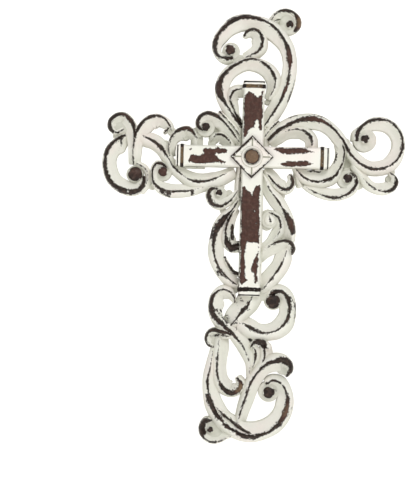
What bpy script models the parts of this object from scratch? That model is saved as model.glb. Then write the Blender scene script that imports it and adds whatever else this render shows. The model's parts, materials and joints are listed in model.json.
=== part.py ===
# Ornate wall cross: one cast piece, scrolls grown out of a plain cross with a diamond boss.
# Metres. X to the right, Z up, the front faces -Y, the flat back lies on Y = 0.
# The origin is on the back, straight behind the middle of the diamond.
import math

import bmesh
import bpy
from mathutils import Matrix

MM = 0.001

# overall size: the scroll layout below is drawn DRAWN_HEIGHT tall and brought to CROSS_HEIGHT,
# and its ridges are drawn for a crest of DRAWN_CREST and brought to CREST_DEPTH
CROSS_HEIGHT = 0.305
DRAWN_HEIGHT = 0.3096
PLAN = CROSS_HEIGHT / DRAWN_HEIGHT
CREST_DEPTH = 0.0125       # highest scroll ridge in front of the back
DRAWN_CREST = 0.0125
RELIEF = CREST_DEPTH / DRAWN_CREST

# the cut of the scrolls
COVE_DROP = 0.0056         # most a hollow falls from its ridge to its inner edge
COVE_START = 0.0005        # fall of the narrowest hollow
COVE_SLOPE = 0.9           # further fall of a hollow for its width
COVE_KNEE_ACROSS = 0.42    # share of a hollow's width at the bend in its floor
COVE_KNEE_FALL = 0.76      # share of its fall reached there
FLANK_STEP = 0.0014        # fall of the narrowest outer flank
FLANK_SLOPE = 0.75         # further fall of a flank for its width
FLANK_SHARE = 0.45         # a flank never falls by more than this share of its ridge
RIDGE_FADE = 0.16          # share of a scroll over which its ridge sinks to its end height
EYE_DOME = 0.55            # height of an eye's dome for its radius
EYE_SIDES = 12
GROUND_SIDES = 14
SMALL_GROUND = 0.0042      # grounds of a smaller drawn radius have fewer sides
SMALL_GROUND_SIDES = 8

# the plain cross
BAR_DEPTH = 0.0145
BAR_CHAMFER = 0.0014
BAR_STEP = 0.0001          # the arm's top lies this much below the upright's
UPRIGHT_WIDTH = 0.0150
UPRIGHT_MIDDLE = 0.0005
UPRIGHT_TOP = 0.0539
UPRIGHT_FOOT = -0.0982
ARM_WIDTH = 0.0149
ARM_MIDDLE = 0.0002
ARM_LEFT = -0.0537
ARM_RIGHT = 0.0548

# each end of the plain cross: a collar with a broad groove in it, and a narrow groove outside
COLLAR_LENGTH = 0.0046
COLLAR_SWELL = 0.0008      # how far a collar stands out at each side
COLLAR_RISE = 0.0002       # and above the bar
COLLAR_CHAMFER = 0.0012
GROOVE_WIDTH = 0.0022
GROOVE_DEPTH = 0.0020
LINE_WIDTH = 0.0008
LINE_DEPTH = 0.0011
# from the end to the middle of the broad groove, and to the middle of the narrow one
END_INSETS = {
    "top": (0.0042, 0.0010), "foot": (0.0048, 0.0009), "left": (0.0045, 0.0014), "right": (0.0053, 0.0013),
}

# diamond and stud
DIAMOND_DEPTH = 0.0168
DIAMOND_REACH = 0.0154     # middle to corner
DIAMOND_RIM = 0.0013
DIAMOND_SINK = 0.0010      # the face lies this much below the rim
DIAMOND_SHOULDER = 0.0010  # its sides are upright to this far below the bars' tops
STUD_DEPTH = 0.0195
STUD_RADIUS = 0.0052
RING_RADIUS = 0.0076
RING_FOOT = 0.0010
STUD_SIDES = 20
RAY_WIDTH = 0.0009         # four short grooves from the ring to the corners
RAY_DEPTH = 0.0007
RAY_GAP = 0.0003           # between the ring and the start of a ray
RAY_STOP = 2.6             # a ray ends this many rim widths before its corner

# fineness of the carving
MAX_TURN = math.radians(24.0)
MAX_STEP = 0.011
BEND_SHARE = 0.8           # a hollow is never wider than this share of the bend it lies in
SHARP_ANGLE = math.radians(40.0)
MERGE = 0.000001

# everything starts behind the back and is trimmed flat; each foot lies a little deeper than the
# one before, so that no two end in one plane
BEHIND = 0.0015
FOOT_STEP = 0.00003
CUT_CLEAR = 0.0020         # how far a cutter runs past what it cuts

# Each scroll: side of the hollow (1 left, -1 right of the way drawn), heights of the ridge at the
# start, along it and at the end, then the ridge itself in drawn mm from the middle of the diamond:
# x, z, width of the hollow, width of the outer flank.
SCROLLS = {
    "left_c": (1, (9.5, 12.0, 9.5), [
        (-90.5, 13.2, 6, 2.2), (-96, 9.8, 9.5, 1.9), (-101.2, 4.2, 8.4, 2.2), (-103.5, -3.5, 7.6, 2.2),
        (-103, -11.5, 8, 2.3), (-99.3, -19.8, 8.3, 2.4), (-92.5, -25, 8.3, 2.4), (-85, -26.9, 7.5, 2.6),
        (-79.2, -25, 6, 2.5), (-76.2, -20.5, 4, 1.8), (-75.8, -15.5, 2, 1.2)]),
    "left_hook": (1, (9.0, 12.0, 9.0), [
        (-83.8, -6.5, 3.4, 0.8), (-84, 1, 3.5, 0.8), (-83.4, 9, 5, 0.8), (-83.6, 17, 7, 2.4),
        (-86, 23.8, 8, 2.2), (-91, 28, 8, 1.9), (-96.5, 27.3, 7, 1.8), (-100.8, 23.3, 6, 1.4),
        (-101, 18, 4, 1.3), (-97.5, 14.8, 2, 0.8)]),
    "left_hook_lip": (1, (9.0, 10.0, 9.0), [
        (-98.5, 14.8, 1.5, 1.5), (-95.3, 15.2, 2, 1.8), (-91.5, 17.3, 2, 2)]),
    "left_arch": (-1, (9.3, 12.2, 8.5), [
        (-83.7, -7, 5, 0.9), (-83.9, 1, 5.7, 0.9), (-83.2, 9, 6, 0.9), (-81.8, 16, 7.5, 1.6),
        (-78.3, 21.8, 8.3, 1.8), (-73.5, 26.3, 8.6, 1.7), (-67.5, 27.7, 9.2, 1.6), (-62.3, 25.8, 7.8, 1.8),
        (-59.2, 22, 5, 2.8), (-57.6, 18.5, 2.5, 2.5)]),
    "left_arch_lip": (-1, (8.0, 9.0, 7.5), [
        (-59.3, 19.5, 1.5, 1.5), (-61, 17.4, 1.5, 1.5), (-62.5, 15.8, 1, 1)]),
    "left_strap": (1, (8.5, 9.0, 8.0), [
        (-81, -6.5, 2.5, 2), (-75.5, -9.3, 2.5, 2.3), (-73, -14.5, 2.4, 2.4), (-73.8, -20, 3, 2.5),
        (-78, -26.5, 2.5, 1.5)]),
    "left_slant": (1, (8.5, 11.5, 9.0), [
        (-78.5, 13.8, 1.5, 6), (-74, 11.9, 4.5, 6.5), (-69, 9.2, 5.8, 5.5), (-63.5, 4.8, 5.4, 5.2),
        (-59, -1.7, 3.5, 5), (-54.5, -8.5, 4, 4.5), (-48.5, -13.8, 5.3, 4.5), (-41.5, -17.4, 6.2, 6),
        (-34, -18, 6, 6.5), (-27, -16.3, 5.4, 6.6), (-21.5, -13.8, 4, 6.8), (-13, -9.5, 3, 6)]),
    "left_low_curl": (1, (9.5, 12.0, 8.0), [
        (-60, -9, 1, 1.5), (-62.7, -6.6, 3, 2), (-66.5, -6.2, 4.5, 2.4), (-69.3, -9.5, 5, 2),
        (-69.9, -14.5, 5.5, 1), (-68.6, -19.5, 5.6, 1.6), (-64.5, -23.6, 5.6, 3.3), (-58, -25.4, 5.6, 4.3),
        (-50, -25.2, 5, 4.5), (-44.5, -24.9, 5, 4), (-41.5, -24.5, 5.4, 3.7), (-32, -21.5, 5, 3)]),
    "left_loop": (-1, (9.0, 11.6, 9.0), [
        (-58, -0.5, 4, 1), (-58.9, 4.5, 4.8, 0.8), (-58, 11, 5.5, 0.8), (-54.8, 16, 7, 1.4),
        (-50, 18.9, 8.3, 1.7), (-45.5, 19.3, 8, 2.1), (-42, 16.5, 6, 2.4), (-39.5, 13, 3, 2)]),
    "left_web": (1, (8.5, 8.5, 8.5), [
        (-39.5, 14, 4.7, 4), (-39.3, 10, 4.8, 4.2), (-39.3, 5, 4.8, 4.2)]),
    "left_ledge": (1, (7.6, 7.6, 7.6), [
        (-47, -7.8, 1.2, 0.8), (-40, -8, 1.2, 0.8), (-33, -8, 1.2, 0.8)]),
    "upper_curl": (1, (9.0, 12.0, 9.0), [
        (-9.5, 11.3, 3, 2), (-13.3, 16, 5, 2.5), (-17.3, 21.2, 6.5, 2.5), (-22.3, 26, 6.5, 3),
        (-27.5, 29.4, 5.5, 2.2), (-32.5, 30.3, 5, 2), (-36.8, 28, 4.5, 1.9), (-38.8, 24, 3.5, 1.8),
        (-37.8, 20.2, 2, 1.6), (-35, 18.5, 1, 0.8)]),
    "upper_vein": (1, (9.0, 10.0, 8.5), [
        (-8.5, 14.5, 2, 2), (-12.8, 20.3, 2.5, 3), (-17.5, 25.7, 2.5, 3.2), (-23.8, 31.8, 1, 1.6)]),
    "upper_root": (1, (8.2, 8.2, 8.2), [
        (-8.5, 6, 3, 3), (-9, 16, 3, 3), (-8.5, 24, 2, 2)]),
    "upper_small_arch": (-1, (8.5, 9.6, 8.5), [
        (-28.3, 12, 4, 3.2), (-26, 14.8, 5.6, 2.5), (-23, 15.7, 6.3, 2.5), (-19.8, 14.6, 6, 2.5),
        (-16, 11, 5, 3), (-13.8, 6, 3, 3)]),
    "upper_arch": (-1, (9.0, 12.5, 8.5), [
        (-7.8, 21.5, 2, 3), (-11.3, 26.3, 3, 4), (-15.5, 31.5, 3.5, 4.5), (-20, 38, 5, 4),
        (-23.6, 44, 6.5, 3.1), (-24.4, 50, 7.5, 2.8), (-22.3, 56, 7.2, 2.9), (-17.5, 61.8, 6.6, 3),
        (-11, 66, 6.2, 2.2), (-4.5, 68.9, 7, 1.7), (2, 68.7, 7.5, 1.8), (8.3, 65.5, 7, 3.2),
        (13, 60.3, 6.5, 4.6), (15.2, 54.5, 6, 4.6), (14.3, 48.3, 5, 4), (11.5, 42.5, 3.5, 3)]),
    "upper_leaf": (-1, (9.0, 10.5, 9.0), [
        (-8, 23.5, 2, 1.5), (-11.5, 29.3, 2.5, 1.5), (-14, 35, 4.3, 2), (-16.2, 40.5, 6, 2.5),
        (-15, 45, 6.2, 4), (-12, 47.5, 5.6, 4), (-6, 48, 5, 3.6)]),
    "top_scroll": (1, (9.0, 12.5, 9.0), [
        (9, 23.5, 2.5, 5), (13.3, 30.3, 5.6, 5.8), (17.5, 36.8, 5.9, 5.8), (21, 44.3, 7.5, 5.6),
        (23.8, 53, 5.5, 5.6), (24.9, 62, 4.5, 5.7), (25, 70, 4.5, 5.4), (22.9, 78.5, 5, 5.4),
        (19, 85.7, 6.8, 5), (13.8, 91.8, 8.5, 4.5), (7, 96.3, 8.5, 3), (-1, 98.3, 8, 2.5),
        (-9, 98.5, 8.5, 3), (-16.3, 96, 8.5, 3), (-22.3, 90.8, 7.6, 2.2), (-26.7, 84.5, 7, 2.2),
        (-28.2, 77.8, 5, 2), (-26.3, 72, 4, 1.4), (-21, 69.6, 3, 3.2), (-15.5, 70.2, 1.5, 4.3)]),
    "top_inner": (-1, (8.5, 11.5, 9.0), [
        (-7.6, 86, 2, 1), (-5.3, 89.2, 5, 1.2), (-1.5, 90.6, 6.3, 1.5), (2.7, 88.8, 7, 2),
        (5.1, 84.5, 7.4, 3.8), (4.9, 79, 6.8, 4.8), (2.3, 75, 6, 4), (-2, 72.3, 5, 3.5),
        (-6.5, 70.5, 4, 2)]),
    "top_curl": (-1, (8.5, 11.6, 9.0), [
        (12, 98.5, 2, 2.2), (14.3, 101.8, 4, 1.5), (18.5, 104, 5.5, 1.8), (23, 104.2, 5.5, 1.9),
        (27.8, 102.2, 5, 1.5), (31, 98.2, 4.5, 1.5), (31, 93.5, 4, 1.5), (28, 90.3, 2.5, 1.4)]),
    "right_arch": (-1, (9.0, 12.5, 9.5), [
        (12, 13, 2, 3), (17, 18, 3.5, 4.2), (23, 22.3, 4.5, 4.8), (30, 25.8, 5.5, 5), (37, 27.8, 6.5, 4.4),
        (44, 28.1, 7, 4), (51, 25.9, 6.2, 3.6), (57.5, 21, 5.5, 3.6), (63, 14.8, 5.7, 3.6),
        (67.2, 8.3, 5, 2.8), (70.5, 3.3, 3, 1.5)]),
    "right_loop": (1, (9.5, 12.5, 9.0), [
        (64, 13.3, 4, 2.5), (67.2, 8.3, 5, 2.5), (71.5, 2.2, 5.5, 4), (77.5, -2.8, 5.5, 4.5),
        (84.5, -5.9, 5.7, 4.5), (91.5, -5.6, 5.9, 4.9), (98, -3.3, 6.3, 4.8), (103.3, 1.8, 6.8, 3.6),
        (106, 8.5, 6.7, 2.3), (105.9, 15.5, 6.6, 2), (102.8, 22.3, 6.9, 2.1), (97.3, 27.3, 7.5, 1.8),
        (90.5, 28.9, 7.4, 2.3), (83.5, 28, 7, 1.9), (77.8, 24.3, 6, 1.3), (74.2, 19, 4, 3.4),
        (74.5, 14.3, 2, 4.4)]),
    "right_vein": (-1, (8.5, 9.5, 8.0), [
        (8, 13.5, 2.5, 3), (11, 17.8, 3.5, 3.5), (14.5, 22, 3.5, 3.5), (18.3, 25.8, 2, 2)]),
    "right_root": (-1, (8.2, 8.2, 8.2), [
        (10, 5, 3, 3), (9.5, 16, 2.5, 2.5), (8.5, 25, 2, 2)]),
    "right_leaf": (-1, (8.5, 10.5, 9.0), [
        (13, 11, 4.5, 2), (18, 15.8, 6, 2), (24, 19, 5.5, 2), (30, 20.5, 6, 2.2), (35, 20.1, 5.8, 3),
        (39.4, 17.6, 5.5, 4.2), (42, 13.6, 4.5, 4.8), (42.4, 6, 4, 4.8)]),
    "right_low_loop": (1, (8.5, 12.0, 9.5), [
        (31, -6.5, 2, 2), (34.5, -10.8, 5, 3.5), (39.5, -14.4, 7.5, 4), (45.5, -16, 9.5, 4),
        (52, -15.4, 9.3, 4.6), (58, -12.7, 7, 4.6), (62, -7, 6, 2.8), (64.7, -0.5, 5.6, 1.2),
        (65.2, 6, 5.6, 1.2), (63.5, 12, 5, 1)]),
    "right_web": (1, (8.0, 8.0, 8.0), [
        (32.5, -6, 3, 2), (32.8, -13, 3, 2.5), (35.5, -19, 3, 3)]),
    "right_low_curl": (1, (8.5, 12.0, 9.0), [
        (38, -19.5, 2.5, 1.5), (44.5, -23.2, 4.5, 2), (52, -25.8, 6, 2.3), (60, -27.2, 6.8, 2),
        (67, -25, 6, 2.8), (72.3, -20.6, 4.5, 3.3), (74.6, -15.5, 3.5, 2.4), (73.7, -11.2, 2.5, 1.2),
        (70.3, -9.2, 1.5, 1)]),
    "right_tail": (1, (9.0, 11.0, 8.5), [
        (72, -3, 3, 3), (76.5, -9, 4, 3.5), (80.5, -14.3, 4, 3.5), (85.5, -18.6, 4, 3.2),
        (91, -21.3, 6.2, 2.6), (96.5, -21.7, 7, 2.2), (101.2, -19.3, 7, 1.6), (103.3, -14.8, 6, 1.3),
        (101.8, -10.8, 3, 0.9), (98.5, -8.5, 1.5, 1)]),
    "crossing_hook": (1, (9.0, 11.5, 9.0), [
        (9.5, -9, 5, 2), (13.5, -14, 6, 2.5), (18, -19, 6, 3), (23, -21.8, 6.5, 3.6), (27, -21.6, 5.5, 3.2),
        (29.3, -18, 4, 2.2), (29.2, -14.5, 3, 1.5), (27.6, -11.5, 2, 1.5)]),
    "low_slant": (-1, (9.0, 12.0, 8.5), [
        (8.5, -12, 3, 3), (13.3, -22.5, 5, 3.5), (18.3, -29.2, 5.8, 5), (23, -36, 5, 4.7),
        (27, -43, 5, 4.1), (29.3, -50, 5.5, 3.4), (30, -58.5, 5, 2.6)]),
    "low_disc_arm": (-1, (9.0, 11.0, 8.5), [
        (13.5, -38.7, 3, 2), (16.5, -39.9, 3, 3), (20, -42.5, 3, 3.3), (21.6, -47, 3.5, 3.6),
        (21, -51.8, 5, 4.5), (18.5, -56, 4.8, 4), (14.5, -60.5, 3.6, 3), (7, -66.5, 3, 3)]),
    "low_hook": (-1, (8.5, 12.0, 8.5), [
        (6.5, -72, 4, 2), (10.5, -66, 6, 2), (14.5, -62.3, 7.2, 1.5), (19, -59.6, 7.6, 1.2),
        (24.5, -58.3, 7.2, 1), (29, -59.5, 5, 1.6), (31.2, -63.3, 4, 1.8), (30.3, -67.6, 2, 1.6)]),
    "low_tail": (-1, (9.0, 11.5, 8.5), [
        (27, -64, 3, 3), (25, -69.5, 6.2, 6), (22.3, -76, 6, 6.6), (18.5, -82.3, 6.8, 6.2),
        (14.3, -88, 7, 5.8), (9, -94, 3, 5)]),
    "low_left_curl": (-1, (9.0, 12.0, 9.0), [
        (-9.5, -24, 1.5, 1.5), (-12.3, -28.6, 3, 2.5), (-16.3, -32.8, 4.5, 2.5), (-21, -35, 5, 2.6),
        (-25.3, -34.3, 5, 2.4), (-28.7, -30.8, 4.5, 2.4), (-29.6, -26.5, 4, 2.5), (-27.5, -23, 3, 1.8),
        (-23.8, -22.8, 1.5, 1)]),
    "low_left_root": (1, (8.2, 8.2, 8.2), [
        (-8, -7, 2.5, 2.5), (-9, -20, 2.5, 2.5), (-8.5, -31, 2.5, 2.5)]),
    "low_right_root": (1, (7.8, 7.8, 7.8), [
        (8, -12, 1, 1.5), (8.2, -50, 1, 1.5), (8.2, -90, 1, 1.5)]),
    "low_left_long": (1, (8.5, 12.0, 8.5), [
        (-8, -29.5, 2.5, 2), (-12.8, -37.6, 3, 3), (-18.3, -43.3, 3, 4), (-22.5, -49.5, 4, 3.8),
        (-24.6, -56.5, 5.6, 3.3), (-25.3, -64, 7.2, 3.9), (-24.2, -71.5, 6.8, 4.4),
        (-21.3, -78.3, 6.3, 4.4), (-16.8, -83.8, 6, 4.9), (-11.5, -88.3, 5, 5), (-6, -91, 3, 3)]),
    "low_left_hook": (1, (8.5, 11.0, 9.0), [
        (-10.5, -36.3, 3.6, 1.5), (-13.8, -42, 4.6, 2), (-16.2, -48, 5.6, 2.3), (-17.1, -54.5, 6.1, 3),
        (-15.8, -60.5, 7, 3.6), (-12.5, -64.3, 6.3, 3.3), (-6, -64.5, 5, 3)]),
    "low_left_rim": (1, (8.0, 9.5, 8.0), [
        (-17.3, -71, 1, 1.5), (-14, -77, 1.3, 1.8), (-10.5, -81.3, 1.3, 2), (-6, -83.3, 1.5, 2)]),
    "tail_hook": (1, (8.5, 12.0, 8.5), [
        (-9.3, -103, 1.5, 1), (-10, -99, 5, 1.5), (-12.8, -95.5, 7, 3.2), (-17.3, -94, 8, 3.4),
        (-22, -95.7, 9.5, 2.3), (-25.3, -100, 10.5, 1.9), (-26.3, -105.5, 10.5, 1.8),
        (-24.3, -111.8, 8, 3.2), (-19, -117.2, 4, 5), (-13, -122.5, 4, 3), (-7.5, -128, 6, 4.2),
        (-3, -133.5, 6.5, 4.6), (0.5, -140, 5, 4.2), (2.3, -147, 4, 2.8), (2.5, -156, 3, 2)]),
    "tail_band": (-1, (9.0, 11.5, 9.0), [
        (4, -96.5, 9.5, 7.5), (0.3, -103.3, 9, 7.8), (-3.7, -108.7, 8.5, 6.8), (-7.5, -113.6, 8.5, 6),
        (-11.3, -118.8, 7, 5)]),
    "tail_curl": (1, (9.0, 12.0, 9.5), [
        (-5, -116.4, 5, 8), (1.5, -120, 6, 8), (7.5, -122.9, 5.5, 7.5), (14, -123.8, 5.8, 6),
        (20.5, -121.8, 6.1, 7), (26, -117, 6.6, 7.3), (29, -110.7, 6.5, 5.6), (29.5, -104, 7.3, 4.8),
        (27.5, -98, 6.5, 5), (23, -94.6, 4.5, 5.2), (18, -95.2, 2.5, 4.5), (15, -98.5, 1, 3)]),
    "tail_leaf": (1, (9.0, 11.5, 8.5), [
        (-8, -128, 2, 1.5), (-13, -125.3, 4, 2), (-19, -123.6, 6, 2.5), (-25, -122.8, 6, 1.2),
        (-28.3, -125.2, 6, 0.8), (-29.3, -129.5, 5.5, 0.8), (-27.3, -133.6, 3, 0.8),
        (-23, -135.2, 1.5, 1)]),
    "tail_inner_hook": (1, (8.5, 11.0, 9.0), [
        (-20, -127.5, 7, 3), (-20, -136, 7.6, 5), (-20.6, -143.5, 7, 5), (-20.6, -151, 6.8, 4.5),
        (-18.9, -159, 7, 4.8), (-15.3, -164.4, 7.6, 4.4), (-10, -167, 8.5, 3.4), (-5.3, -165, 6.5, 3.4),
        (-3.4, -160.7, 4, 4), (-5.8, -156.8, 2, 3.5)]),
    "bottom_loop": (1, (8.5, 12.5, 9.5), [
        (-23.6, -136, 3, 2), (-25.3, -148.5, 3.5, 3.6), (-27, -158, 6, 3.6), (-26, -167.5, 7, 4.3),
        (-22.8, -177, 7.8, 5.6), (-17.7, -186, 8.5, 5), (-11, -192, 9, 5.1), (-3, -196.3, 9.3, 4.7),
        (6, -197.2, 9.5, 4.6), (14.5, -194.7, 9, 4.7), (22, -189.5, 8.3, 5.4), (27.3, -181.8, 7.6, 5.5),
        (29.7, -173.5, 7.8, 4.8), (28.6, -165.3, 6, 4.6), (24.5, -159.3, 4, 5), (19, -157.5, 3, 4),
        (14.6, -159.7, 1.5, 3.5)]),
    "bottom_inner": (1, (9.0, 11.0, 9.5), [
        (-21.3, -176.5, 1, 1), (-15.5, -182.3, 2, 2), (-10.3, -186, 4, 2), (-5, -190.3, 4, 2),
        (1.5, -194.2, 3, 1.5), (7, -196, 2, 1)]),
    "bottom_slant": (-1, (9.5, 12.0, 8.5), [
        (-4.8, -188, 5.5, 2.5), (-3, -179.5, 6.3, 3), (-0.2, -170.5, 6.8, 3.6), (2.7, -161.5, 7, 4),
        (6.7, -153.8, 7, 4), (12.2, -147.5, 7, 4.5), (19.5, -143.4, 8.5, 5), (26, -142.3, 9.3, 3.4),
        (30.7, -145.3, 7.3, 2.3), (31.7, -150, 6, 1.8), (28.8, -154.3, 3.5, 1.5)]),
    "bud_left": (1, (9.5, 10.0, 8.5), [
        (3.8, -133.3, 2, 2), (6.7, -138, 4, 2.5), (6.3, -143, 4, 3), (4, -150, 2.5, 3)]),
    "bud_right": (1, (9.5, 10.0, 8.5), [
        (12, -133, 5.5, 3), (12.9, -138.5, 6, 3.5), (12, -144, 6, 3.5), (9, -150, 3, 3)]),
    "bud_top": (-1, (9.5, 11.5, 9.5), [
        (2.8, -134.3, 1.5, 1.5), (5.3, -130.9, 3, 1.8), (9, -129.9, 3.5, 2), (12.8, -131.7, 3, 2.6),
        (15.3, -135, 2.5, 3.2)]),
    "bottom_curl": (1, (9.0, 11.5, 8.5), [
        (-23.8, -187, 1.5, 2.5), (-27.8, -187, 3, 2), (-30.5, -190.7, 4.5, 1.8), (-30.7, -195.3, 5, 1.7),
        (-28, -199.5, 5, 1.7), (-23, -201.9, 5.5, 1.6), (-17.5, -201.2, 5.5, 1.6), (-12, -198.3, 4, 1.4),
        (-7, -197.6, 3.5, 1.5)]),
}

# Round grounds inside the curls, drawn mm: x, z, radius, depth of the face.
GROUNDS = [
    (-93.5, 19.5, 6.0, 6.8), (-62.5, -12.0, 6.3, 7.2), (-33.0, 20.3, 6.5, 7.2), (-24.5, 18.6, 2.6, 5.2),
    (-16.5, 75.0, 6.3, 7.2), (24.3, 95.0, 7.2, 7.4), (17.8, 94.5, 4.0, 5.6), (80.0, 14.3, 8.3, 7.2),
    (68.3, -2.0, 4.5, 5.2), (67.7, -13.8, 6.6, 7.2), (14.0, -43.7, 6.3, 8.6), (-22.5, -27.0, 6.0, 7.2),
    (18.0, -101.3, 6.4, 7.2), (-23.0, -129.0, 5.5, 6.8), (16.4, -165.6, 7.4, 7.3),
    (-22.2, -193.4, 7.5, 6.9), (-77.8, 19.5, 3.2, 6.0), (-96.6, 12.6, 2.2, 6.5), (-82.3, -14.0, 6.2, 6.5),
    (-57.2, 17.3, 3.1, 6.5), (-61.0, 8.3, 2.5, 6.2), (-47.0, 13.4, 2.6, 6.5), (-40.3, 18.4, 2.0, 6.5),
    (-37.8, 14.7, 2.0, 6.2), (-70.1, -22.4, 2.4, 6.0), (67.0, 13.0, 2.4, 6.5), (98.7, -12.9, 3.0, 7.2),
    (99.8, -7.6, 2.3, 7.0), (77.3, -18.3, 2.3, 6.5), (67.8, -7.8, 2.8, 6.0), (-15.2, -25.8, 2.6, 6.2),
    (-20.3, -21.0, 1.8, 6.2), (-19.3, -38.0, 2.3, 6.0), (22.3, -26.6, 2.4, 6.0), (12.5, -40.5, 4.1, 7.0),
    (12.3, -47.5, 4.0, 7.0), (10.5, -97.0, 4.5, 7.0), (4.0, -129.5, 2.5, 5.0), (26.0, -148.5, 5.0, 6.5),
    (-10.5, 68.3, 4.6, 6.5), (10.3, 39.8, 2.0, 6.0), (-28.3, 9.6, 2.9, 6.2),
]

# Domed eyes of the curls, drawn mm: x, z, radius, depth of the top.
EYES = [
    (-82.0, -14.0, 5.2, 11.5), (-62.5, -11.8, 3.4, 10.5), (-33.0, 20.8, 3.1, 10.5),
    (-17.2, 75.8, 3.9, 11.0), (24.7, 94.8, 2.8, 10.5), (80.0, 15.2, 3.1, 10.5), (68.3, -13.0, 3.3, 10.5),
    (14.0, -43.9, 4.0, 10.4), (-22.4, -25.6, 2.5, 10.5), (17.8, -101.6, 5.2, 11.5),
    (16.5, -166.0, 4.2, 11.0), (-24.3, -193.4, 2.2, 10.0),
]


def clear_scene():
    for thing in list(bpy.data.objects):
        bpy.data.objects.remove(thing, do_unlink=True)


def blend(a, b, t):
    return [p + (q - p) * t for p, q in zip(a, b)]


def along(knots, fine=10):
    """A smooth curve through the knots; every value of a knot is carried with its place."""
    rows = [list(k) for k in knots]
    first = blend(rows[1], rows[0], 2.0)
    last = blend(rows[-2], rows[-1], 2.0)
    rows = [first] + rows + [last]
    times = [0.0]
    for a, b in zip(rows, rows[1:]):
        times.append(times[-1] + math.sqrt(math.hypot(b[0] - a[0], b[1] - a[1])))
    out = []
    for i in range(1, len(rows) - 2):
        p0, p1, p2, p3 = rows[i - 1:i + 3]
        t0, t1, t2, t3 = times[i - 1:i + 3]
        for j in range(fine):
            t = t1 + (t2 - t1) * j / fine
            a1 = blend(p0, p1, (t - t0) / (t1 - t0))
            a2 = blend(p1, p2, (t - t1) / (t2 - t1))
            a3 = blend(p2, p3, (t - t2) / (t3 - t2))
            b1 = blend(a1, a2, (t - t0) / (t2 - t0))
            b2 = blend(a2, a3, (t - t1) / (t3 - t1))
            out.append(blend(b1, b2, (t - t1) / (t2 - t1)))
    out.append(rows[-2])
    return out


def travelled(points):
    """How far along the curve each point lies."""
    reach = [0.0]
    for a, b in zip(points, points[1:]):
        reach.append(reach[-1] + math.hypot(b[0] - a[0], b[1] - a[1]))
    return reach


def ways(points):
    """The direction of travel at each point, in radians, without jumps."""
    angles = []
    for i in range(len(points)):
        a = points[max(0, i - 1)]
        b = points[min(len(points) - 1, i + 1)]
        angle = math.atan2(b[1] - a[1], b[0] - a[0])
        if angles:
            turn = angle - angles[-1]
            angle -= 2.0 * math.pi * round(turn / (2.0 * math.pi))
        angles.append(angle)
    return angles


def evened(values, times=3):
    """The values with their small jumps smoothed out, the first and last kept."""
    for _ in range(times):
        inner = [(a + b + c) / 3.0 for a, b, c in zip(values, values[1:], values[2:])]
        values = [values[0]] + inner + [values[-1]]
    return values


def held_in(points, reach, angles, side):
    """Hollow and flank widths kept inside the bend they lie in."""
    hollow = []
    flank = []
    for i, point in enumerate(points):
        a = max(0, i - 2)
        b = min(len(points) - 1, i + 2)
        bend = (angles[b] - angles[a]) * side / (reach[b] - reach[a])
        room = BEND_SHARE / max(abs(bend), MERGE)
        hollow.append(min(point[2], room) if bend > 0.0 else point[2])
        flank.append(min(point[3], room) if bend < 0.0 else point[3])
    return evened(hollow), evened(flank)


def stations(points, reach, angles):
    """Indices of the points that are lofted: closer together where the ridge bends."""
    picked = [0]
    for i in range(1, len(points) - 1):
        turn = abs(angles[i] - angles[picked[-1]])
        if turn >= MAX_TURN or reach[i] - reach[picked[-1]] >= MAX_STEP:
            picked.append(i)
    if len(points) - 1 - picked[-1] < 3 and len(picked) > 1:
        picked.pop()
    picked.append(len(points) - 1)
    return picked


def section(hollow, flank, ridge, foot):
    """Across a scroll: distance inwards from the ridge, height above the back."""
    fall = min(COVE_DROP, COVE_SLOPE * hollow + COVE_START)
    step = min(FLANK_STEP + FLANK_SLOPE * flank, FLANK_SHARE * ridge)
    return [
        (-flank, foot), (-flank, ridge - step), (0.0, ridge),
        (COVE_KNEE_ACROSS * hollow, ridge - COVE_KNEE_FALL * fall), (hollow, ridge - fall), (hollow, foot)]


def ridge_heights(reach, heights):
    """Ridge height at each point: falls to its end values over the first and last stretch."""
    start, middle, end = [value * MM * RELIEF for value in heights]
    fade = RIDGE_FADE * reach[-1]
    out = []
    for run in reach:
        first = min(1.0, run / fade)
        last = min(1.0, (reach[-1] - run) / fade)
        out.append(middle - (middle - start) * (1.0 - first) ** 2 - (middle - end) * (1.0 - last) ** 2)
    return out


def add_scroll(mesh, side, heights, knots, foot):
    """Loft one scroll: unlike sections set across a smooth ridge line."""
    points = [[value * MM * PLAN for value in point] for point in along(knots)]
    reach = travelled(points)
    angles = ways(points)
    hollow, flank = held_in(points, reach, angles, side)
    ridge = ridge_heights(reach, heights)
    rings = []
    for i in stations(points, reach, angles):
        x, z = points[i][0], points[i][1]
        inward_x = -math.sin(angles[i]) * side
        inward_z = math.cos(angles[i]) * side
        ring = []
        for across, height in section(hollow[i], flank[i], ridge[i], foot):
            ring.append(mesh.verts.new((x + inward_x * across, -height, z + inward_z * across)))
        rings.append(ring)
    faces = []
    for a, b in zip(rings, rings[1:]):
        for i in range(len(a)):
            j = (i + 1) % len(a)
            faces.append(mesh.faces.new((a[i], a[j], b[j], b[i])))
    faces.append(mesh.faces.new(rings[0]))
    faces.append(mesh.faces.new(list(reversed(rings[-1]))))
    bmesh.ops.recalc_face_normals(mesh, faces=faces)


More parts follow.
